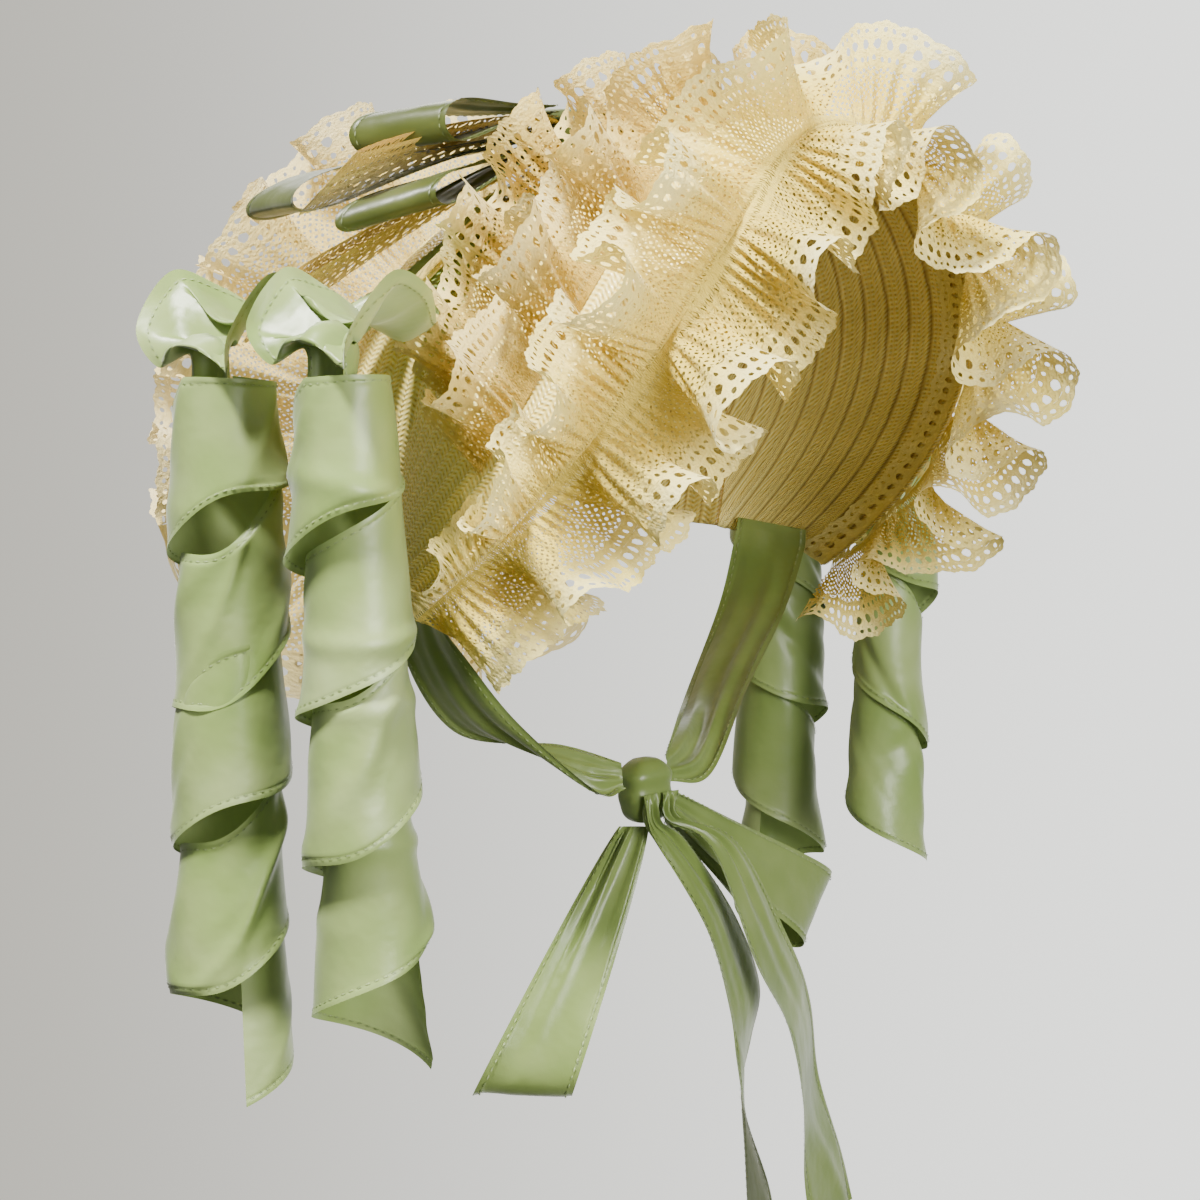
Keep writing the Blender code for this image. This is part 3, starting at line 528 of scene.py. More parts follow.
def lace_tile(width):
    """One repeat of the lace: quads in u along it and e from its scalloped edge towards its stitched side."""
    quads = []

    def cells(count):
        for k in range(count):
            yield k, LACE_REPEAT * k / count, LACE_REPEAT * (k + 1) / count

    def row(count, low, high, half_u, half_e, tilt=0.0):
        for k, u0, u1 in cells(count):
            hole = oval(((u0 + u1) / 2, (low + high) / 2), half_u, half_e, tilt * (1 if k % 2 else -1))
            quads.append(ring_quads(box_round(u0, u1, low, high), hole))

    def solid(low, high, count=6):
        for _, u0, u1 in cells(count):
            quads.append(np.array([[(u0, low), (u1, low), (u1, high), (u0, high)]]))

    fan = min(LACE_FAN, width - 0.002)
    solid(0.0, 0.0014, 12)
    row(3, 0.0014, 0.0048, 0.00072, 0.00095)
    solid(0.0048, 0.0054)
    row(2, 0.0054, 0.0114, 0.00134, 0.00206)
    solid(0.0114, 0.0121)
    if width < 0.016:
        solid(0.0121, width)
        return np.concatenate(quads)
    row(3, 0.0121, 0.0160, 0.00074, 0.00112)
    solid(0.0160, fan)
    half = LACE_CELL / 2
    net_top = width - LACE_HEADER
    rows = int((net_top - fan) / half) - 1
    half_e = (net_top - fan) / (rows + 1)
    columns = round(LACE_REPEAT / LACE_CELL)
    for k in range(rows):
        e = fan + half_e * (k + 1)
        for c in range(columns):
            u = LACE_CELL * (c + 0.5 * (k % 2))
            corners = np.array([(u + half, e), (u, e + half_e), (u - half, e), (u, e - half_e)])
            between = (corners + np.roll(corners, -1, axis=0)) / 2
            outer = np.stack([corners, between], axis=1).reshape(-1, 2)
            centre = np.array([u, e])
            scale = np.tile([0.38, 0.48], 4)[:, None]
            quads.append(ring_quads(outer, centre + (outer - centre) * scale))
    shift = half if rows % 2 else 0.0
    top = net_top - half_e
    for c in range(columns):
        u = LACE_CELL * c
        v = u + shift
        quads.append(np.array([[(u - half, fan), (u + half, fan), (u, fan + half_e), (u, fan + half_e)]]))
        quads.append(np.array([[(v, top), (v, top), (v + half, net_top), (v - half, net_top)]]))
    solid(net_top, net_top + 0.0008)
    row(4, net_top + 0.0008, net_top + 0.0046, 0.00044, 0.0015, 0.42)
    solid(net_top + 0.0046, width)
    return np.concatenate(quads)


def flat_lace(length, width):
    """A length of lace laid flat: points (u, e) in metres and quads, with shared points merged."""
    tile = lace_tile(width)
    count = max(2, round(length / LACE_REPEAT))
    shift = np.arange(count)[:, None, None, None] * np.array([LACE_REPEAT, 0.0])
    corners = (tile[None] + shift).reshape(-1, 2)
    keys = np.round(corners / 2e-6).astype(np.int64)
    _, first, index = np.unique(keys[:, 0] * 1000003 + keys[:, 1], return_index=True, return_inverse=True)
    points = corners[first]
    uneven = np.sin(points @ np.array([[1930.0, 610.0], [870.0, 2140.0]]) + np.array([0.4, 1.7]))
    uneven = uneven + np.sin(points @ np.array([[310.0, 740.0], [1240.0, 420.0]]) + np.array([2.1, 0.3]))
    points = points + LACE_UNEVEN * uneven * np.minimum(1, points[:, 1:] / 0.002)
    quads = index.reshape(-1, 4)
    return points, quads, count * LACE_REPEAT


def lace_piece(name, laid, width, surface, replaces, closed=False):
    """Open lace laid on a grid whose rows run along it and whose columns run to its free edge.

    Where the grid is narrower than the lace, the lace is cut narrower at its stitched side."""
    grid, cut, flat_length = laid
    points, quads, length = flat_lace(flat_length, width)
    cut_at = np.interp(points[:, 0] / length, np.linspace(0, 1, len(cut)), cut)
    kept = (points[quads, 1] < cut_at[quads] - 1e-6).any(axis=1)
    used, index = np.unique(quads[kept], return_inverse=True)
    quads = index.reshape(-1, 4)
    points, cut_at = points[used], cut_at[used]
    points[:, 1] = np.minimum(points[:, 1], cut_at)
    u = points[:, 0] / length
    e = points[:, 1]
    scallop = 0.5 - 0.5 * np.cos(2 * np.pi * points[:, 0] / LACE_REPEAT)
    picot = np.abs(np.sin(3 * np.pi * points[:, 0] / LACE_REPEAT))
    reach = SCALLOP * (scallop - 0.5) * np.exp(-e / 0.008) + PICOT * (picot - 0.5) * np.exp(-e / PICOT)
    v = 1 - (e - reach) / cut_at
    if closed:
        u = u - np.floor(u)
    ahead = unit(on_grid(grid, u, np.ones_like(v)) - on_grid(grid, u, np.full_like(v, 0.94)))
    spots = on_grid(grid, u, v) + ahead * (np.maximum(v - 1, 0) * cut_at)[:, None]
    same = (quads[:, 0] == quads[:, 1]) | (quads[:, 2] == quads[:, 3])
    triangles = np.where((quads[same, 0] == quads[same, 1])[:, None], quads[same][:, 1:], quads[same][:, :3])
    made = make_piece(name, spots, [quads[~same], triangles], surface, "cream_lace", replaces, points)
    x, y = points[quads, 0], points[quads, 1]
    area = 0.5 * np.abs((x * np.roll(y, -1, 1) - y * np.roll(x, -1, 1)).sum(1)).sum()
    area = min(area, 0.99 * width * length)
    return made


def wrinkles(along, across, seed, waves, creases):
    """How far a ribbon's surface is pushed out by soft waves and a few long creases."""
    random = np.random.default_rng(seed)
    total = np.zeros(np.broadcast(along, across).shape)
    for _ in range(7):
        k = random.uniform(40, 130)
        turn = random.uniform(-1.1, 1.1)
        wave = k * (along * math.cos(turn) + across * math.sin(turn)) + phase(random)
        total = total + waves / 3 * np.sin(wave)
    for _ in range(6):
        turn = random.uniform(0.5, 1.3) * random.choice([-1, 1])
        k = random.uniform(20, 45)
        wave = k * (along * math.cos(turn) + across * math.sin(turn)) + phase(random)
        patch = 0.5 + 0.5 * np.sin(along * random.uniform(15, 45) + phase(random))
        total = total + creases * patch * np.exp(-((np.sin(wave) / 0.16) ** 2))
    return total


def hem_places(width, middle=10):
    """Places across a ribbon from -0.5 to 0.5, closer at its two hems."""
    inner = np.linspace(HEM_INNER / width, 0.5, middle)[:-1]
    half = np.concatenate([np.array(HEM_ROWS) / width, inner])
    return np.concatenate([half - 0.5, [0.0], 0.5 - half[::-1]])


def hem_relief(distance):
    """The hem's height above the ribbon at a distance from its edge: doubled cloth with a line of stitches."""
    doubled = 0.00028 / (1 + np.exp((distance - HEM) / 0.00025))
    groove = 0.00035 * np.exp(-(((distance - 0.0026) / 0.0006) ** 2))
    return doubled - groove


def stitches(name, grid, columns, surface, slot):
    """Lines of short threads on a grid's surface along the given columns, on both of its faces."""
    normals = grid_normals(grid)
    spots, faces = [], []
    outline = np.array(
        [(-0.5, 0, 0), (-0.22, 0.5, 0.6), (-0.22, -0.5, 0.6), (0.22, 0.5, 0.6), (0.22, -0.5, 0.6), (0.5, 0, 0)]
    )
    shape = np.array([(0, 1, 2), (1, 3, 4), (1, 4, 2), (3, 5, 4)])
    for column in columns:
        line = grid[:, column]
        length = distances(line)
        at = np.arange(STITCH_PITCH / 2, length[-1], STITCH_PITCH)
        centre = read_line(at, length, line)
        normal = unit(read_line(at, length, normals[:, column]))
        along = unit(read_line(at + STITCH_LENGTH / 2, length, line) - centre + 1e-9)
        aside = np.cross(normal, along)
        for face in (1, -1):
            base = sum(len(s) for s in spots)
            local = along[:, None] * outline[None, :, :1] * STITCH_LENGTH
            local = local + aside[:, None] * outline[None, :, 1:2] * STITCH_WIDTH
            local = local + normal[:, None] * face * (outline[None, :, 2:] * STITCH_HEIGHT + STITCH_LIFT)
            spots.append((centre[:, None] + local).reshape(-1, 3))
            turned = shape if face > 0 else shape[:, ::-1]
            faces.append((np.arange(len(at))[:, None, None] * len(outline) + turned + base).reshape(-1, 3))
    return make_piece(name, np.concatenate(spots), np.concatenate(faces), surface, slot)


def open_width(grid):
    """The width of a ribbon, square to its length, where it isn't gathered."""
    ahead = unit(np.gradient(grid, axis=0))[:, :-1]
    width = np.linalg.norm(np.cross(np.diff(grid, axis=1), ahead), axis=2).sum(axis=1)
    return float(np.median(width))


def ribbon_piece(node, grid, cloth, seed, creases, ends=1.0):
    """A hemmed satin ribbon on a grid, with wrinkles that fade towards its ends and its lines of stitches.

    cloth is the satin, the thread and the slot."""
    surface, thread, slot = cloth
    uv = grid_uv(grid)
    along = uv[:, 0].reshape(grid.shape[:2])
    across = uv[:, 1].reshape(grid.shape[:2])
    half = np.abs(across).max(axis=1, keepdims=True)
    distance = np.maximum(half - np.abs(across), 0)
    quiet = np.minimum(1, distance / 0.004) * ends
    push = wrinkles(along, across, seed, *creases) * quiet + hem_relief(distance)
    grid = grid + grid_normals(grid) * push[..., None]
    made = make_piece(node + "_satin", grid, grid_faces(*grid.shape[:2]), surface, slot, (node,), uv)
    open_width(grid)
    columns = (STITCHED_COLUMN, grid.shape[1] - 1 - STITCHED_COLUMN)
    stitches(node + "_satin_stitches", grid, columns, thread, slot)
    return made


def connect(node, inputs):
    """Sets or links a node's inputs."""
    for key, value in dict(inputs).items():
        if isinstance(value, bpy.types.NodeSocket):
            node.id_data.links.new(value, node.inputs[key])
        else:
            node.inputs[key].default_value = value


def adder(tree):
    """A function that adds a node to a tree, sets or links its inputs and returns one of its outputs."""

    def add(kind, inputs=(), out=0, **settings):
        node = tree.nodes.new("ShaderNode" + kind)
        for key, value in settings.items():
            setattr(node, key, value)
        connect(node, inputs)
        return node.outputs[out]

    return add


def shader(name, colour, roughness):
    """A material, its Principled node and the function that adds nodes to it."""
    made = bpy.data.materials.new(name)
    made.use_nodes = True
    surface = made.node_tree.nodes["Principled BSDF"]
    connect(surface, {"Base Color": (*colour, 1), "Roughness": roughness})
    return made, surface, adder(made.node_tree)


def light_through(add, surface, tint, normal, share):
    """Lets a share of the light through the cloth."""
    behind = add("BsdfTranslucent", {"Color": tint, "Normal": normal})
    mix = add("MixShader", {0: share, 1: surface.outputs["BSDF"], 2: behind})
    connect(surface.id_data.nodes["Material Output"], {"Surface": mix})


def ramp(add, source, stops):
    """A colour ramp over a value."""
    colours = add("ValToRGB", {"Fac": source})
    elements = colours.node.color_ramp.elements
    for k, (place, colour) in enumerate(stops):
        stop = elements[k] if k < 2 else elements.new(place)
        stop.position = place
        stop.color = (*colour, 1)
    return colours


def lace_material(name, colour, warm, deep, through):
    """Cream cotton crochet: knotted threads, matte and lit through, with painted shade that deepens its colour away
    from its free edge, towards the folds.
    """
    made, surface, add = shader(name, colour, 0.88)
    where, flat = add("TexCoord", out="Object"), add("TexCoord", out="UV")
    blotch = add("TexNoise", {"Vector": where, "Scale": 38.0, "Detail": 3.0})
    plain = ramp(add, blotch, ((0.30, warm), (0.70, colour)))
    from_edge = add("SeparateXYZ", {"Vector": flat}, out="Y")
    painted_fold_shade = add("MapRange", {"Value": from_edge, "From Min": 0.002, "From Max": 0.024, "To Max": 0.85})
    # Painted shade: the colour is mixed towards deep, more so further from the free edge, for the shade inside the
    # folds
    tint = add("MixRGB", {0: painted_fold_shade, 1: plain, 2: (*deep, 1)})
    knot = add("TexVoronoi", {"Vector": flat, "Scale": 900.0}, out="Distance", feature="SMOOTH_F1")
    fibre = add("TexNoise", {"Vector": where, "Scale": 1500.0, "Detail": 2.0, "Roughness": 0.7})
    height = add("Math", {0: fibre, 1: 0.5, 2: knot}, operation="MULTIPLY_ADD")
    normal = add("Bump", {"Height": height, "Strength": 0.8, "Distance": 0.0006})
    connect(surface, {"Base Color": tint, "Normal": normal, "Sheen Weight": 0.15, "Specular IOR Level": 0.25})
    light_through(add, surface, tint, normal, through)
    return made


def satin_material(name, colour, deep, light, roughness):
    """Satin ribbon: long floats across the ribbon give it a soft directional gloss."""
    made, surface, add = shader(name, colour, roughness)
    where = add("TexCoord", out="Object")
    cloud = add("TexNoise", {"Vector": where, "Scale": 26.0, "Detail": 2.0})
    tint = ramp(add, cloud, ((0.28, deep), (0.52, colour), (0.78, light)))
    floats = add("Mapping", {"Vector": add("TexCoord", out="UV"), "Scale": (900.0, 5200.0, 1.0)})
    weave = add("TexNoise", {"Vector": floats, "Scale": 1.0, "Detail": 1.0})
    crumple = add("TexNoise", {"Vector": where, "Scale": 85.0, "Detail": 2.0})
    fine = add("Bump", {"Height": weave, "Strength": 0.10, "Distance": 0.0002})
    normal = add("Bump", {"Height": crumple, "Strength": 0.34, "Distance": 0.0016, "Normal": fine})
    shine = add("MapRange", {"Value": crumple, "To Min": roughness - 0.05, "To Max": roughness + 0.09})
    connect(surface, {"Base Color": tint, "Normal": normal, "Roughness": shine})
    connect(surface, {"Sheen Weight": 0.25, "Sheen Roughness": 0.4, "Anisotropic": 0.35})
    light_through(add, surface, tint, normal, SATIN_THROUGH)
    return made


def thread_material(name, colour, deep):
    """Twisted sewing thread."""
    made, surface, add = shader(name, colour, 0.5)
    twist = add("TexNoise", {"Vector": add("TexCoord", out="Object"), "Scale": 900.0, "Detail": 2.0})
    normal = add("Bump", {"Height": twist, "Strength": 0.4, "Distance": 0.0003})
    connect(surface, {"Base Color": ramp(add, twist, ((0.35, deep), (0.65, colour))), "Normal": normal})
    return made


def straw_material():
    """Sewn straw braid: plaited strands at a slant to each row, glossy here and there, with painted shade darkening
    the gaps between rows.
    """
    made, surface, add = shader("straw_braid", (0.66, 0.50, 0.24), 0.42)

    def calc(operation, *values):
        return add("Math", dict(enumerate(values)), operation=operation)

    where = add("TexCoord", out="UV")
    along, across = add("SeparateXYZ", {"Vector": where}, out="X"), add("SeparateXYZ", {"Vector": where}, out="Y")
    fraction = calc("FRACT", calc("DIVIDE", across, BRAID_ROW))
    slant = calc("ABSOLUTE", calc("SUBTRACT", fraction, 0.5))
    shifted = calc("MULTIPLY_ADD", slant, STRAND_SLANT, along)
    wave = calc("SINE", calc("MULTIPLY", shifted, 2 * math.pi / STRAND_PITCH))
    ends = calc("SINE", calc("MULTIPLY", fraction, 2 * math.pi * STRAND_CROSSINGS))
    both = calc("MULTIPLY_ADD", calc("MULTIPLY", wave, ends), 0.6, wave)
    level = add("MapRange", {"Value": both, "From Min": -1.5, "From Max": 1.5})
    stretched = add("Mapping", {"Vector": where, "Scale": (260.0, 700.0, 1.0)})
    fleck = add("TexNoise", {"Vector": stretched, "Scale": 1.0, "Detail": 3.0})
    mixed = calc("MULTIPLY_ADD", fleck, 0.9, level)
    tint = ramp(add, calc("MULTIPLY", mixed, 0.55), STRAW_SHADES)
    # Painted shade: the edges of each row are multiplied by a darker colour, for the shade in the gaps between rows
    painted_gap_shade_mask = add("MapRange", {"Value": slant, "From Min": 0.36, "From Max": 0.5, "To Min": 1.0, "To Max": 0.0})
    groove = ramp(add, painted_gap_shade_mask, ((0.0, (0.42, 0.33, 0.22)), (0.75, (1.0, 1.0, 1.0))))
    shaded = add("MixRGB", {0: 1.0, 1: tint, 2: groove}, blend_type="MULTIPLY")
    shine = add("MapRange", {"Value": fleck, "From Min": 0.35, "From Max": 0.62, "To Min": 0.50, "To Max": 0.16})
    normal = add("Bump", {"Height": mixed, "Strength": 0.8, "Distance": 0.0006})
    connect(surface, {"Base Color": shaded, "Roughness": shine, "Normal": normal})
    return made


def straw_shell(name, grid, distance, surface, replaces):
    """A closed straw wall on a grid, its rows of braid overlapping like tiles. distance is measured across them."""
    normals = grid_normals(grid)
    within = distance / BRAID_ROW % 1
    step = BRAID_TILT * (within - 0.5) * np.minimum(1, (1 - within) * 9) - 0.0003
    crown = BRAID_CROWN * np.sin(np.pi * within)
    outer = grid + normals * (STRAW / 2 + step + crown)[..., None]
    inner = grid - normals * (STRAW / 2 - 0.0005 - step * 0.9 + crown)[..., None]
    rows, columns = grid.shape[:2]
    count = rows * columns
    top = grid_faces(rows, columns)
    index = np.arange(count).reshape(rows, columns)
    rim = np.concatenate([index[:, 0], index[-1, 1:], index[-2::-1, -1], index[0, -2:0:-1]])
    after = np.roll(rim, -1)
    faces = [top, top[:, ::-1] + count, np.stack([rim, rim + count, after + count, after], axis=1)]
    u = np.vstack([np.zeros(columns), np.cumsum(np.linalg.norm(np.diff(grid, axis=0), axis=2), axis=0)])
    uv = np.tile(np.stack([u, distance], axis=-1).reshape(-1, 2), (2, 1))
    make_piece(name, np.stack([outer, inner]), np.concatenate(faces), surface, "straw_braid", replaces, uv)


def brim_grid(angle, near, far, count):
    """The angles and shares of a grid on the brim, between two shares at each angle."""
    share = near[:, None] + (far - near)[:, None] * np.linspace(0, 1, count)
    return np.repeat(angle[:, None], count, axis=1), share


def add_straw(straw):
    """The brim and the crown in rows of sewn braid."""
    angle = np.linspace(-ARCH_END_ANGLE, ARCH_END_ANGLE, 221)
    near, far = brim_share(angle, STRAW_SET_BACK), 1 - brim_share(angle, BRIM_TO_CROWN)
    wide, share = brim_grid(angle, near, far, 95)
    distance = share * (0.5 / brim_share(angle, 1.0)[:, None] + 0.5 * BRIM_MEAN_DEPTH)
    straw_shell("brim_straw", brim_points(wide, share), distance, straw, ("brim",))
    share = np.append(-CROWN_LAP, CROWN_END_SHARE * np.sin(np.linspace(0, math.pi / 2, 90)))
    angle = np.linspace(-ARCH_END_ANGLE, ARCH_END_ANGLE, 181)
    grid = crown_points(*np.meshgrid(angle, share, indexing="ij"))
    across = np.linalg.norm(np.diff(grid, axis=1), axis=2)
    distance = np.hstack([np.zeros((len(angle), 1)), np.cumsum(across, axis=1)])
    distance = distance * 0.3 + distance.mean(0) * 0.7
    straw_shell("crown_straw", grid, distance, straw, ("crown",))


def add_lace(front, rows, rear):
    """The ruffles, the two rows behind them, the rear ring and the flat band inside the edge."""
    edge = brim_seam(0.0, ARCH_END_ANGLE, 0.0)
    outer = frill(edge, FRONT_FOLDS, FRONT_LACE_WIDTH, FRONT_OUTER_LEAN, -1, 0, 11)
    inner = frill(edge, FRONT_FOLDS, FRONT_LACE_WIDTH, FRONT_INNER_LEAN, 1, 1, 12)
    lace_piece("front_ruffle_outer", outer, FRONT_LACE_WIDTH, front, ("front_ruffle",))
    lace_piece("front_ruffle_inner", inner, FRONT_LACE_WIDTH, front, ())
    for name, share, end, seed in (
        ("second_ruffle", SECOND_ROW_SHARE, SECOND_ROW_END_ANGLE, 21),
        ("third_ruffle", THIRD_ROW_SHARE, THIRD_ROW_END_ANGLE, 22),
    ):
        laid = frill(brim_seam(share, end, LACE_SEAT), ROW_FOLDS, ROW_LACE_WIDTH, ROW_LEAN, -1, 0, seed)
        lace_piece(name + "_lace", laid, ROW_LACE_WIDTH, rows, (name,))
    laid = frill(rear_seam(), REAR_FOLDS, REAR_LACE_WIDTH, REAR_LEAN, -1, 0, 31)
    lace_piece("rear_ruffle_lace", laid, REAR_LACE_WIDTH, rear, ("rear_ruffle",), closed=True)
    angle = np.linspace(-ARCH_END_ANGLE, ARCH_END_ANGLE, 301)
    near, far = brim_share(angle, STRAW_SET_BACK), brim_share(angle, STRAW_SET_BACK + BAND_WIDTH)
    points, _, outward = surface_at(brim_points, *brim_grid(angle, near, far, 9))
    grid = points - outward * (LACE_SEAT + BAND_STAND_OFF)
    laid = grid, np.full(2, BAND_WIDTH), distances(grid[:, 4])[-1]
    lace_piece("edge_band_lace", laid, BAND_WIDTH, front, ("edge_band",))


def ribbon_grid(centres, widths, places, bulge=0.0):
    """Rows of points across a ribbon, from its centre line and its width vectors."""
    along = np.gradient(centres, axis=0)
    normal = unit(np.cross(along, widths))
    place = places[None, :, None]
    lift = np.reshape(bulge * np.ones(len(centres)), (-1, 1, 1)) * (1 - 4 * place**2)
    return centres[:, None] + widths[:, None] * place + normal[:, None] * lift


def loop_centres(root, reach, root_up, up, opening, count):
    """The centre line of a loop: out below, round its end and back above. Also how open it is at each point."""
    turn = (1 - np.cos(math.pi * np.linspace(0, 1, count)[:, None])) / 2
    out = np.sin(math.pi * turn).clip(0, 1) ** LOOP_ROUND_POWER
    opened = out**LOOP_SPREAD_POWER
    rise = -opening / 2 * out * np.sin(2 * math.pi * turn) + (turn - 0.5) * BOW_ROOT_OPENING
    return root + reach * out + unit(root_up * (1 - opened) + up * opened) * rise, opened


def gathered(grid, opened, seed, depth, folds=5):
    """A ribbon's grid with folds that run out from its gathered root."""
    places = np.linspace(-1, 1, grid.shape[1])[None, :]
    wave = ripples(1.6 * places, folds, 2, np.random.default_rng(seed))
    fade = np.exp(-((opened / 0.55) ** 2)) * np.minimum(1, opened / 0.12)
    return grid + grid_normals(grid) * (depth * wave * fade)[..., None]


def add_bow(cloth, lace):
    """The top bow: its knot, and its loops of satin and lace on both sides."""
    vertical = np.array([0.0, 0.0, 1.0])
    narrow = BOW_ROOT_WIDTH * np.array([0.0, 1.0, -BOW_FALL_SHARE])
    for side, word in ((-1, "right"), (1, "left")):
        for k, (name, root_share, aside, back, width_aside, width_back, fall, opening) in enumerate(BOW_LOOPS):
            seed = 40 + k + 10 * (side + 1)
            root = np.array([side * BOW_ROOT_ASIDE, BOW_SET_BACK, BOW_SEAT + BOW_KNOT_HEIGHT * root_share])
            up = -fall * aside - BOW_FALL_SHARE * back
            width_up = -fall * width_aside - BOW_FALL_SHARE * width_back
            width_up -= LACE_LOOP_TURN if "lace" in name else 0
            reach = BOW_LOOP_REACH * np.array([side * aside, back, up])
            full = BOW_RIBBON_WIDTH * unit(np.array([side * width_aside, width_back, width_up]))
            upward = unit(np.cross(reach, full)) * side
            centres, opened = loop_centres(root, reach, vertical, upward, BOW_LOOP_OPENING * opening, 90)
            widths = narrow * (1 - opened) + full * opened
            droop = BOW_DROOP * ((centres[:, :1] - root[0]) / BOW_LOOP_REACH) ** 2
            centres = centres + (widths - narrow) / 2 * opened - vertical * droop
            node = f"{name}_{word}"
            if "lace" in name:
                grid = gathered(ribbon_grid(centres, widths, np.linspace(-0.5, 0.5, 21)), opened, seed, BOW_GATHER)
                width = max(open_width(grid), LACE_LOOP_WIDTH)
                laid = grid, np.full(2, width), distances(grid[:, 10])[-1]
                lace_piece(node + "_net", laid, width, lace, (node,))
            else:
                grid = gathered(ribbon_grid(centres, widths, hem_places(BOW_RIBBON_WIDTH)), opened, seed, BOW_GATHER)
                ends = np.minimum(1, opened * 3)
                ribbon_piece(node, grid, cloth, seed, LOOP_CREASES, ends)
    middle = (0, BOW_SET_BACK, BOW_SEAT + BOW_KNOT_HEIGHT / 2)
    add_knot("bow_knot", middle, (BOW_KNOT_WIDTH, BOW_KNOT_LENGTH, BOW_KNOT_HEIGHT), 0, cloth, 61)


def add_knot(node, centre, size, axis, cloth, seed):
    """A knot: ribbon wrapped round an axis, pulled into soft folds across its front."""
    random = np.random.default_rng(seed)
    turns, across = 96, 33
    theta = np.linspace(0, 2 * np.pi, turns, endpoint=False)[:, None]
    place = np.linspace(-1, 1, across)[None, :]
    half = np.array(size) / 2
    cap = (1 - np.abs(place) ** 3.2).clip(0, 1) ** 0.42
    fold = np.zeros((turns, across))
    for k in range(4):
        sway = random.uniform(-0.5, 0.5) * np.sin(theta + random.uniform(0, 6))
        fold += np.sin(place * (4.5 + 2.1 * k) + sway + phase(random)) / (k + 1.5)
    scale = cap * (0.93 + 0.055 * fold)
    sides = [np.sign(turned) * np.abs(turned) ** KNOT_POWER * scale for turned in (np.cos(theta), np.sin(theta))]
    sides.insert(axis, place * np.ones_like(theta))
    grid = np.clip(np.stack(sides, axis=-1) * half, -half, half) + np.array(centre)
    uv = np.stack(np.broadcast_arrays(theta * half[1], place * half[0]), axis=-1)
    faces = grid_faces(turns, across, closed=True)
    made = make_piece(node + "_satin", grid, faces, cloth[0], cloth[2], (node,), uv.reshape(-1, 2))


def add_curls(cloth):
    """The spiral curls and the draped ribbons that they hang from."""
    for k, curl in enumerate(CURLS):
        word, side, back, top, bottom, radius, lean_in, gaps = curl
        height = top - bottom - CURL_RIBBON_WIDTH
        turns = height / CURL_TURN_HEIGHT
        count = int((turns + CURL_RIM_TURN) * 72) + 1
        down = np.linspace(-CURL_RIM_TURN / turns, 1, count)[:, None]
        turn = CURL_START - 2 * math.pi * turns * down
        random = np.random.default_rng(70 + k)
        shift = np.zeros((count, 1))
        for at, gap, spread in gaps:
            centre = CURL_GAP_TURN - 2 * math.pi * at
            shift += gap / 2 * np.exp(-(((turn - centre) / spread) ** 2))
            shift -= gap / 2 * np.exp(-(((turn - centre + 2 * math.pi) / spread) ** 2))
        wobble = 0.0008 * np.sin(turn * 0.61 + phase(random)) + 0.0005 * np.sin(turn * 2.3 + phase(random))
        middle = top - CURL_RIBBON_WIDTH / 2 - height * down + shift
        rim = top - CURL_RIM_DROP + 0.0015 * np.sin(turn * 1.3 + k)
        high = np.minimum(middle + CURL_RIBBON_WIDTH / 2, rim)
        low = middle - CURL_RIBBON_WIDTH / 2
        place = 2 * hem_places(CURL_RIBBON_WIDTH, 14)
        wide = radius + CURL_FLARE * place + wobble
        x = side * (CURL_ASIDE - lean_in * down.clip(0, 1)) + side * wide * np.cos(turn)
        grid = np.stack([x, back - wide * np.sin(turn), high + (low - high) * (place + 1) / 2], axis=-1)
        ribbon_piece(f"curl_{word}", grid, cloth, 80 + k, CURL_CREASES)
        add_drape(k, curl, cloth)


def add_drape(k, curl, cloth):
    """The ribbon that comes from under the bow, swells over the side and is tucked into the curl's top."""
    word, side, back, top, bottom, radius, lean_in, _ = curl
    root = np.array([side * BOW_ROOT_ASIDE, BOW_SET_BACK + math.copysign(DRAPE_ROOT_SPREAD, back), DRAPE_SEAT])
    goal = np.array([side * CURL_ASIDE, back, top])
    span = root - goal
    rows = [(*root, 0.0, DRAPE_ROOT_WIDTH, 0.0, 0.0)]
    for aside, along_back, height, width, bulge in DRAPE_SECTIONS:
        centre = root - span * np.array([aside, along_back, 1.0])
        centre[2] = goal[2] + span[2] * height
        rows.append((*centre, 0.0, DRAPE_WIDTH * width, 0.0, DRAPE_WIDTH * width * bulge))
    edge_drop = CURL_TURN_HEIGHT * CURL_START / (2 * math.pi)
    flare = CURL_FLARE * (1 - 2 * (DRAPE_TUCK - edge_drop) / CURL_RIBBON_WIDTH)
    leaning = abs(lean_in) * DRAPE_TUCK / (top - bottom - CURL_RIBBON_WIDTH)
    inner = radius * math.cos(math.pi / CURL_TURN_POINTS) - flare - leaning - SATIN - GAP
    half = inner * math.sin(DRAPE_TUCK_HALF_TURN)
    reach = inner * math.cos(DRAPE_TUCK_HALF_TURN)
    for lift in (DRAPE_TUCK_START, -DRAPE_TUCK):
        rows.append((*(goal + (side * reach, 0.0, lift)), 0.0, 2 * half, 0.0, inner - reach))
    count = 110
    read = smooth(rows, count)
    share = np.linspace(0, 1, count)[:, None]
    grid = ribbon_grid(read[:, :3], read[:, 3:6], hem_places(DRAPE_WIDTH, 12), read[:, 6] * side * -1)
    places = np.linspace(-1, 1, grid.shape[1])[None, :]
    fold = ripples(places, 4.2, 2.3, np.random.default_rng(90 + k))
    pinch = np.exp(-(((share - 0.93) / 0.09) ** 2)) + 0.7 * np.exp(-(((share - 0.25) / 0.2) ** 2))
    grid = grid + grid_normals(grid) * (DRAPE_PINCH * fold * pinch)[..., None]
    ends = np.minimum(1, np.minimum(share * 12, (1 - share) * 12))
    ribbon_piece(f"drape_{word}", grid, cloth, 95 + k, DRAPE_CREASES, ends)


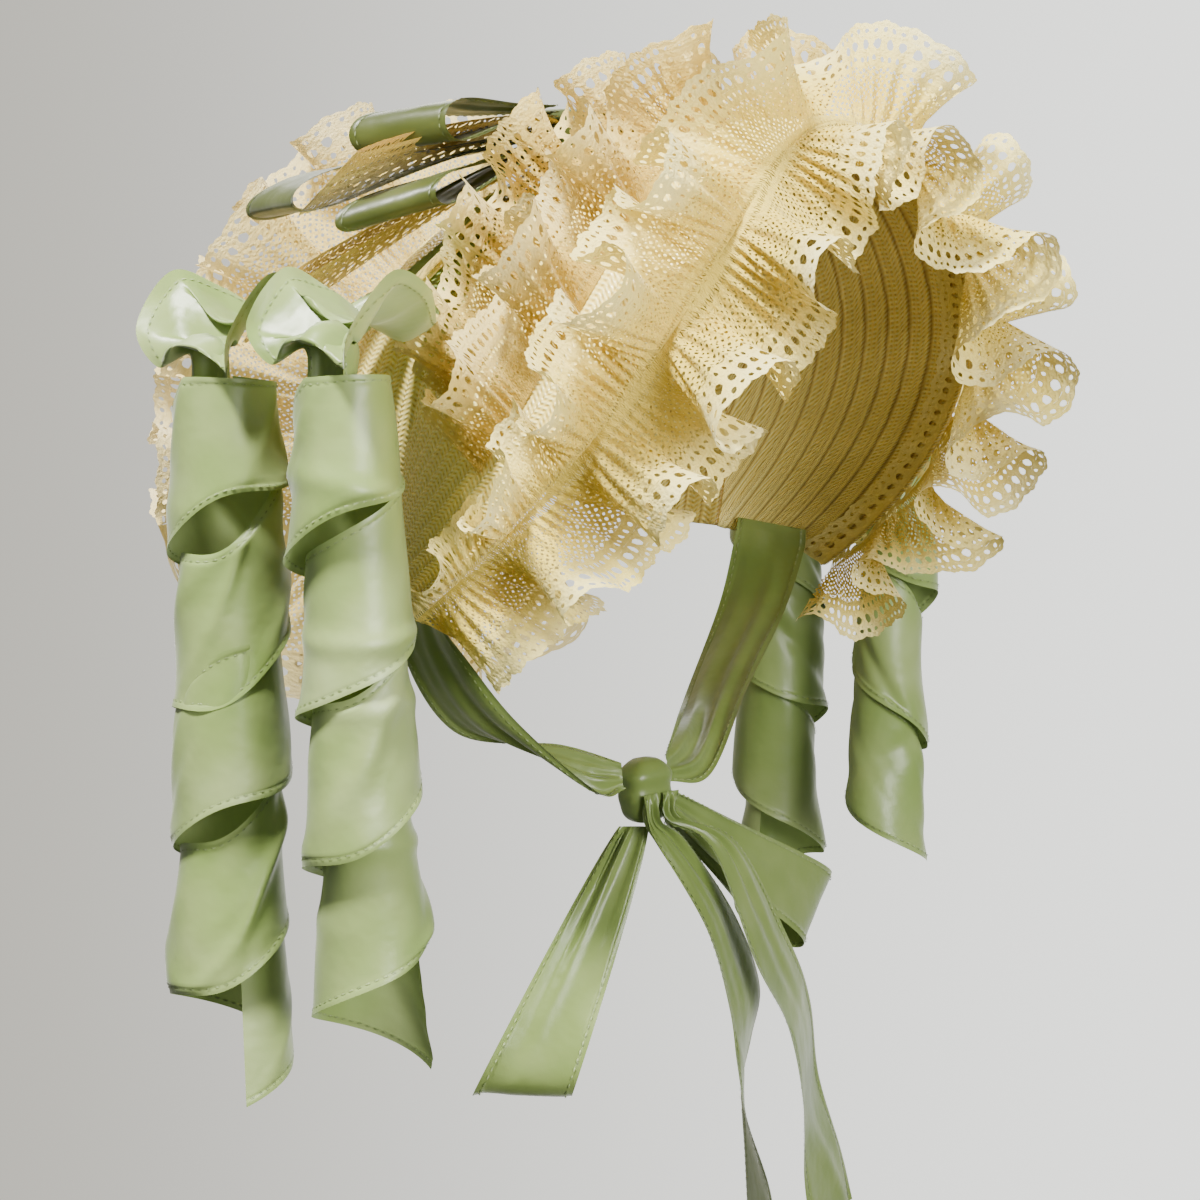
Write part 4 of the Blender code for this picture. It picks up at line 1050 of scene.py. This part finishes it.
def add_chin(cloth):
    """The chin ties, and the bow under the chin with its loops and free ends."""
    across_knot, _, up_knot = CHIN_KNOT_SIZE
    for side, word in ((-1, "right"), (1, "left")):
        angle, share = np.array([side * TIE_SEAT_ANGLE]), np.array([TIE_SEAT_SHARE])
        points, back, outward = surface_at(brim_points, angle, share)
        sag = BRIM_BULGE * 4 * brim_share(angle, TIE_SEAT_WIDTH / 2) ** 2
        seat = (points - outward * (STRAW / 2 + STAND_OFF + sag + TIE_STAND_OFF))[0]
        goal = CHIN_KNOT + (side * (across_knot / 2 + STAND_OFF), 0, up_knot * TIE_END_SHARE)
        rows = [(*seat, *(unit(back)[0] * TIE_SEAT_WIDTH))]
        for across, forward, down, width, width_aside, width_back, width_up in TIE_SECTIONS:
            centre = seat + (goal - seat) * np.array([across, forward, down])
            direction = unit(np.array([side * width_aside, width_back, width_up]))
            rows.append((*centre, *(direction * TIE_WIDTH * width)))
        read = smooth(rows, 90)
        opened = np.linspace(1, 0, 90)[:, None]
        grid = gathered(ribbon_grid(read[:, :3], read[:, 3:], hem_places(TIE_WIDTH)), opened, 110 + side, TIE_GATHER)
        ends = np.minimum(1, np.minimum(opened, 1 - opened) * 12)
        ribbon_piece(f"chin_tie_{word}", grid, cloth, 112 + side, TIE_CREASES, ends)
    for k, (name, across, height, aside, back, up, *rest) in enumerate(CHIN_LOOPS):
        root = CHIN_KNOT + CHIN_KNOT_SIZE * (across, 0, height)
        reach = CHIN_LOOP_LENGTH * np.array([aside, back, up])
        full = TIE_WIDTH * unit(np.array(rest[0:3]))
        narrow = CHIN_LOOP_ROOT_WIDTH * unit(np.array(rest[3:6]))
        away = unit(np.cross(reach, full))
        centres, opened = loop_centres(root, reach, away, away, CHIN_LOOP_OPENING * rest[6], 100)
        widths = narrow * (1 - opened) + full * opened
        grid = gathered(ribbon_grid(centres, widths, hem_places(TIE_WIDTH)), opened, 120 + k, LOOP_GATHER)
        ends = np.minimum(1, opened * 3)
        ribbon_piece(name, grid, cloth, 122 + k, LOOP_CREASES, ends)
    for k, (name, across, sections) in enumerate(CHIN_TAILS):
        root = CHIN_KNOT + CHIN_KNOT_SIZE * (across, -0.5, 0) - (0, STAND_OFF, 0)
        lower = root - CHIN_KNOT_SIZE * (0, CHIN_TAIL_LIFT_SHARE, CHIN_TAIL_SLIDE_SHARE)
        rows = [(*start, CHIN_TAIL_ROOT_WIDTH, 0.0, 0.0) for start in (root, lower)]
        for aside, forward, down, width, turn in sections:
            centre = root + CHIN_TAIL_DROP * np.array([aside, -forward, -down])
            direction = np.array([math.cos(math.radians(turn)), math.sin(math.radians(turn)), 0.0])
            rows.append((*centre, *(direction * TIE_WIDTH * width)))
        read = smooth(rows, 120)
        share = np.linspace(0, 1, 120)[:, None]
        grid = ribbon_grid(read[:, :3], read[:, 3:], hem_places(TIE_WIDTH))
        grid = gathered(grid, share * 1.6, 130 + k, TIE_GATHER)
        ends = np.minimum(1, share * 8)
        ribbon_piece(name, grid, cloth, 132 + k, TAIL_CREASES, ends)
    add_knot("chin_knot", CHIN_KNOT, CHIN_KNOT_SIZE, 2, cloth, 141)


def place_aimed(name, data, place, direction):
    """An object in the scene whose -Z points along a direction, with Z up."""
    ahead = unit(np.array(direction, float))
    right = unit(np.cross(ahead, (0, 0, 1)))
    up = np.cross(right, ahead)
    made = bpy.data.objects.new(name, data)
    made.location = place
    made.rotation_euler = Matrix([list(right), list(up), list(-ahead)]).transposed().to_euler()
    bpy.context.scene.collection.objects.link(made)
    return made


def add_stage():
    """The camera at the photograph's angle, a pale surround and three soft lights."""
    scene = bpy.context.scene
    lens = bpy.data.cameras.new("camera")
    lens.lens = CAMERA_LENS
    lens.sensor_width = CAMERA_FILM
    scene.camera = place_aimed("camera", lens, CAMERA_TARGET - CAMERA_DISTANCE * AWAY, AWAY)
    scene.world = bpy.data.worlds.new("studio")
    scene.world.use_nodes = True
    add = adder(scene.world.node_tree)

    def facing(direction, low, high):
        """How far a direction of the surround turns towards the given one."""
        where = add("TexCoord", out="Generated")
        dot = add("VectorMath", {0: where, 1: tuple(direction)}, out="Value", operation="DOT_PRODUCT")
        return add("MapRange", {"Value": dot, "From Min": low, "From Max": high}, interpolation_type="SMOOTHSTEP")

    def blend(share, low, high):
        """Two colours of the surround mixed by a share."""
        return add("MixRGB", {0: share, 1: low, 2: high})

    wall = blend(facing(RIGHT, -0.26, 0.26), (0.70, 0.675, 0.60, 1), (1.95, 1.97, 1.90, 1))
    room = blend(facing((0, 0, 1), -0.6, 0.8), (0.12, 0.116, 0.108, 1), (0.35, 0.35, 0.342, 1))
    shown = blend(facing(AWAY, 0.35, 0.9), room, wall)
    connect(scene.world.node_tree.nodes["Background"], {"Color": shown})
    for name, place, size, energy, colour in LIGHTS:
        light = bpy.data.lights.new(name, "AREA")
        light.size, light.energy, light.color = size, energy, colour
        place_aimed(name, light, place, LIGHT_TARGET - place)


# The third colour of each lace is painted shade for its folds. The rows' lace is a darker copy of the front lace,
# its colours lowered to paint the shade in the rows' folds; the bow's lace loops use it too
cream = lace_material("cream_lace", (0.93, 0.83, 0.40), (0.90, 0.75, 0.21), (0.74, 0.55, 0.07), 0.14)
cream_rows_painted_shade = lace_material("cream_lace_rows_painted_shade", (0.87, 0.74, 0.34), (0.78, 0.60, 0.17), (0.54, 0.36, 0.05), 0.12)
cream_rear = lace_material("cream_lace_rear", (0.93, 0.80, 0.46), (0.90, 0.73, 0.30), (0.82, 0.63, 0.20), 0.25)
sage = satin_material("sage_satin", (0.29, 0.385, 0.125), (0.22, 0.32, 0.08), (0.40, 0.49, 0.21), 0.34)
sage_ties = satin_material("sage_satin_ties", (0.19, 0.26, 0.07), (0.14, 0.205, 0.045), (0.26, 0.33, 0.12), 0.33)
olive = satin_material("olive_satin", (0.060, 0.076, 0.013), (0.038, 0.05, 0.008), (0.10, 0.12, 0.032), 0.36)
sage_thread = thread_material("sage_thread", (0.32, 0.40, 0.17), (0.16, 0.22, 0.07))
olive_thread = thread_material("olive_thread", (0.16, 0.20, 0.08), (0.07, 0.09, 0.03))
add_straw(straw_material())
add_lace(cream, cream_rows_painted_shade, cream_rear)
add_bow((olive, olive_thread, "olive_satin"), cream_rows_painted_shade)
add_curls((sage, sage_thread, "sage_satin"))
add_chin((sage_ties, sage_thread, "sage_satin"))
add_stage()
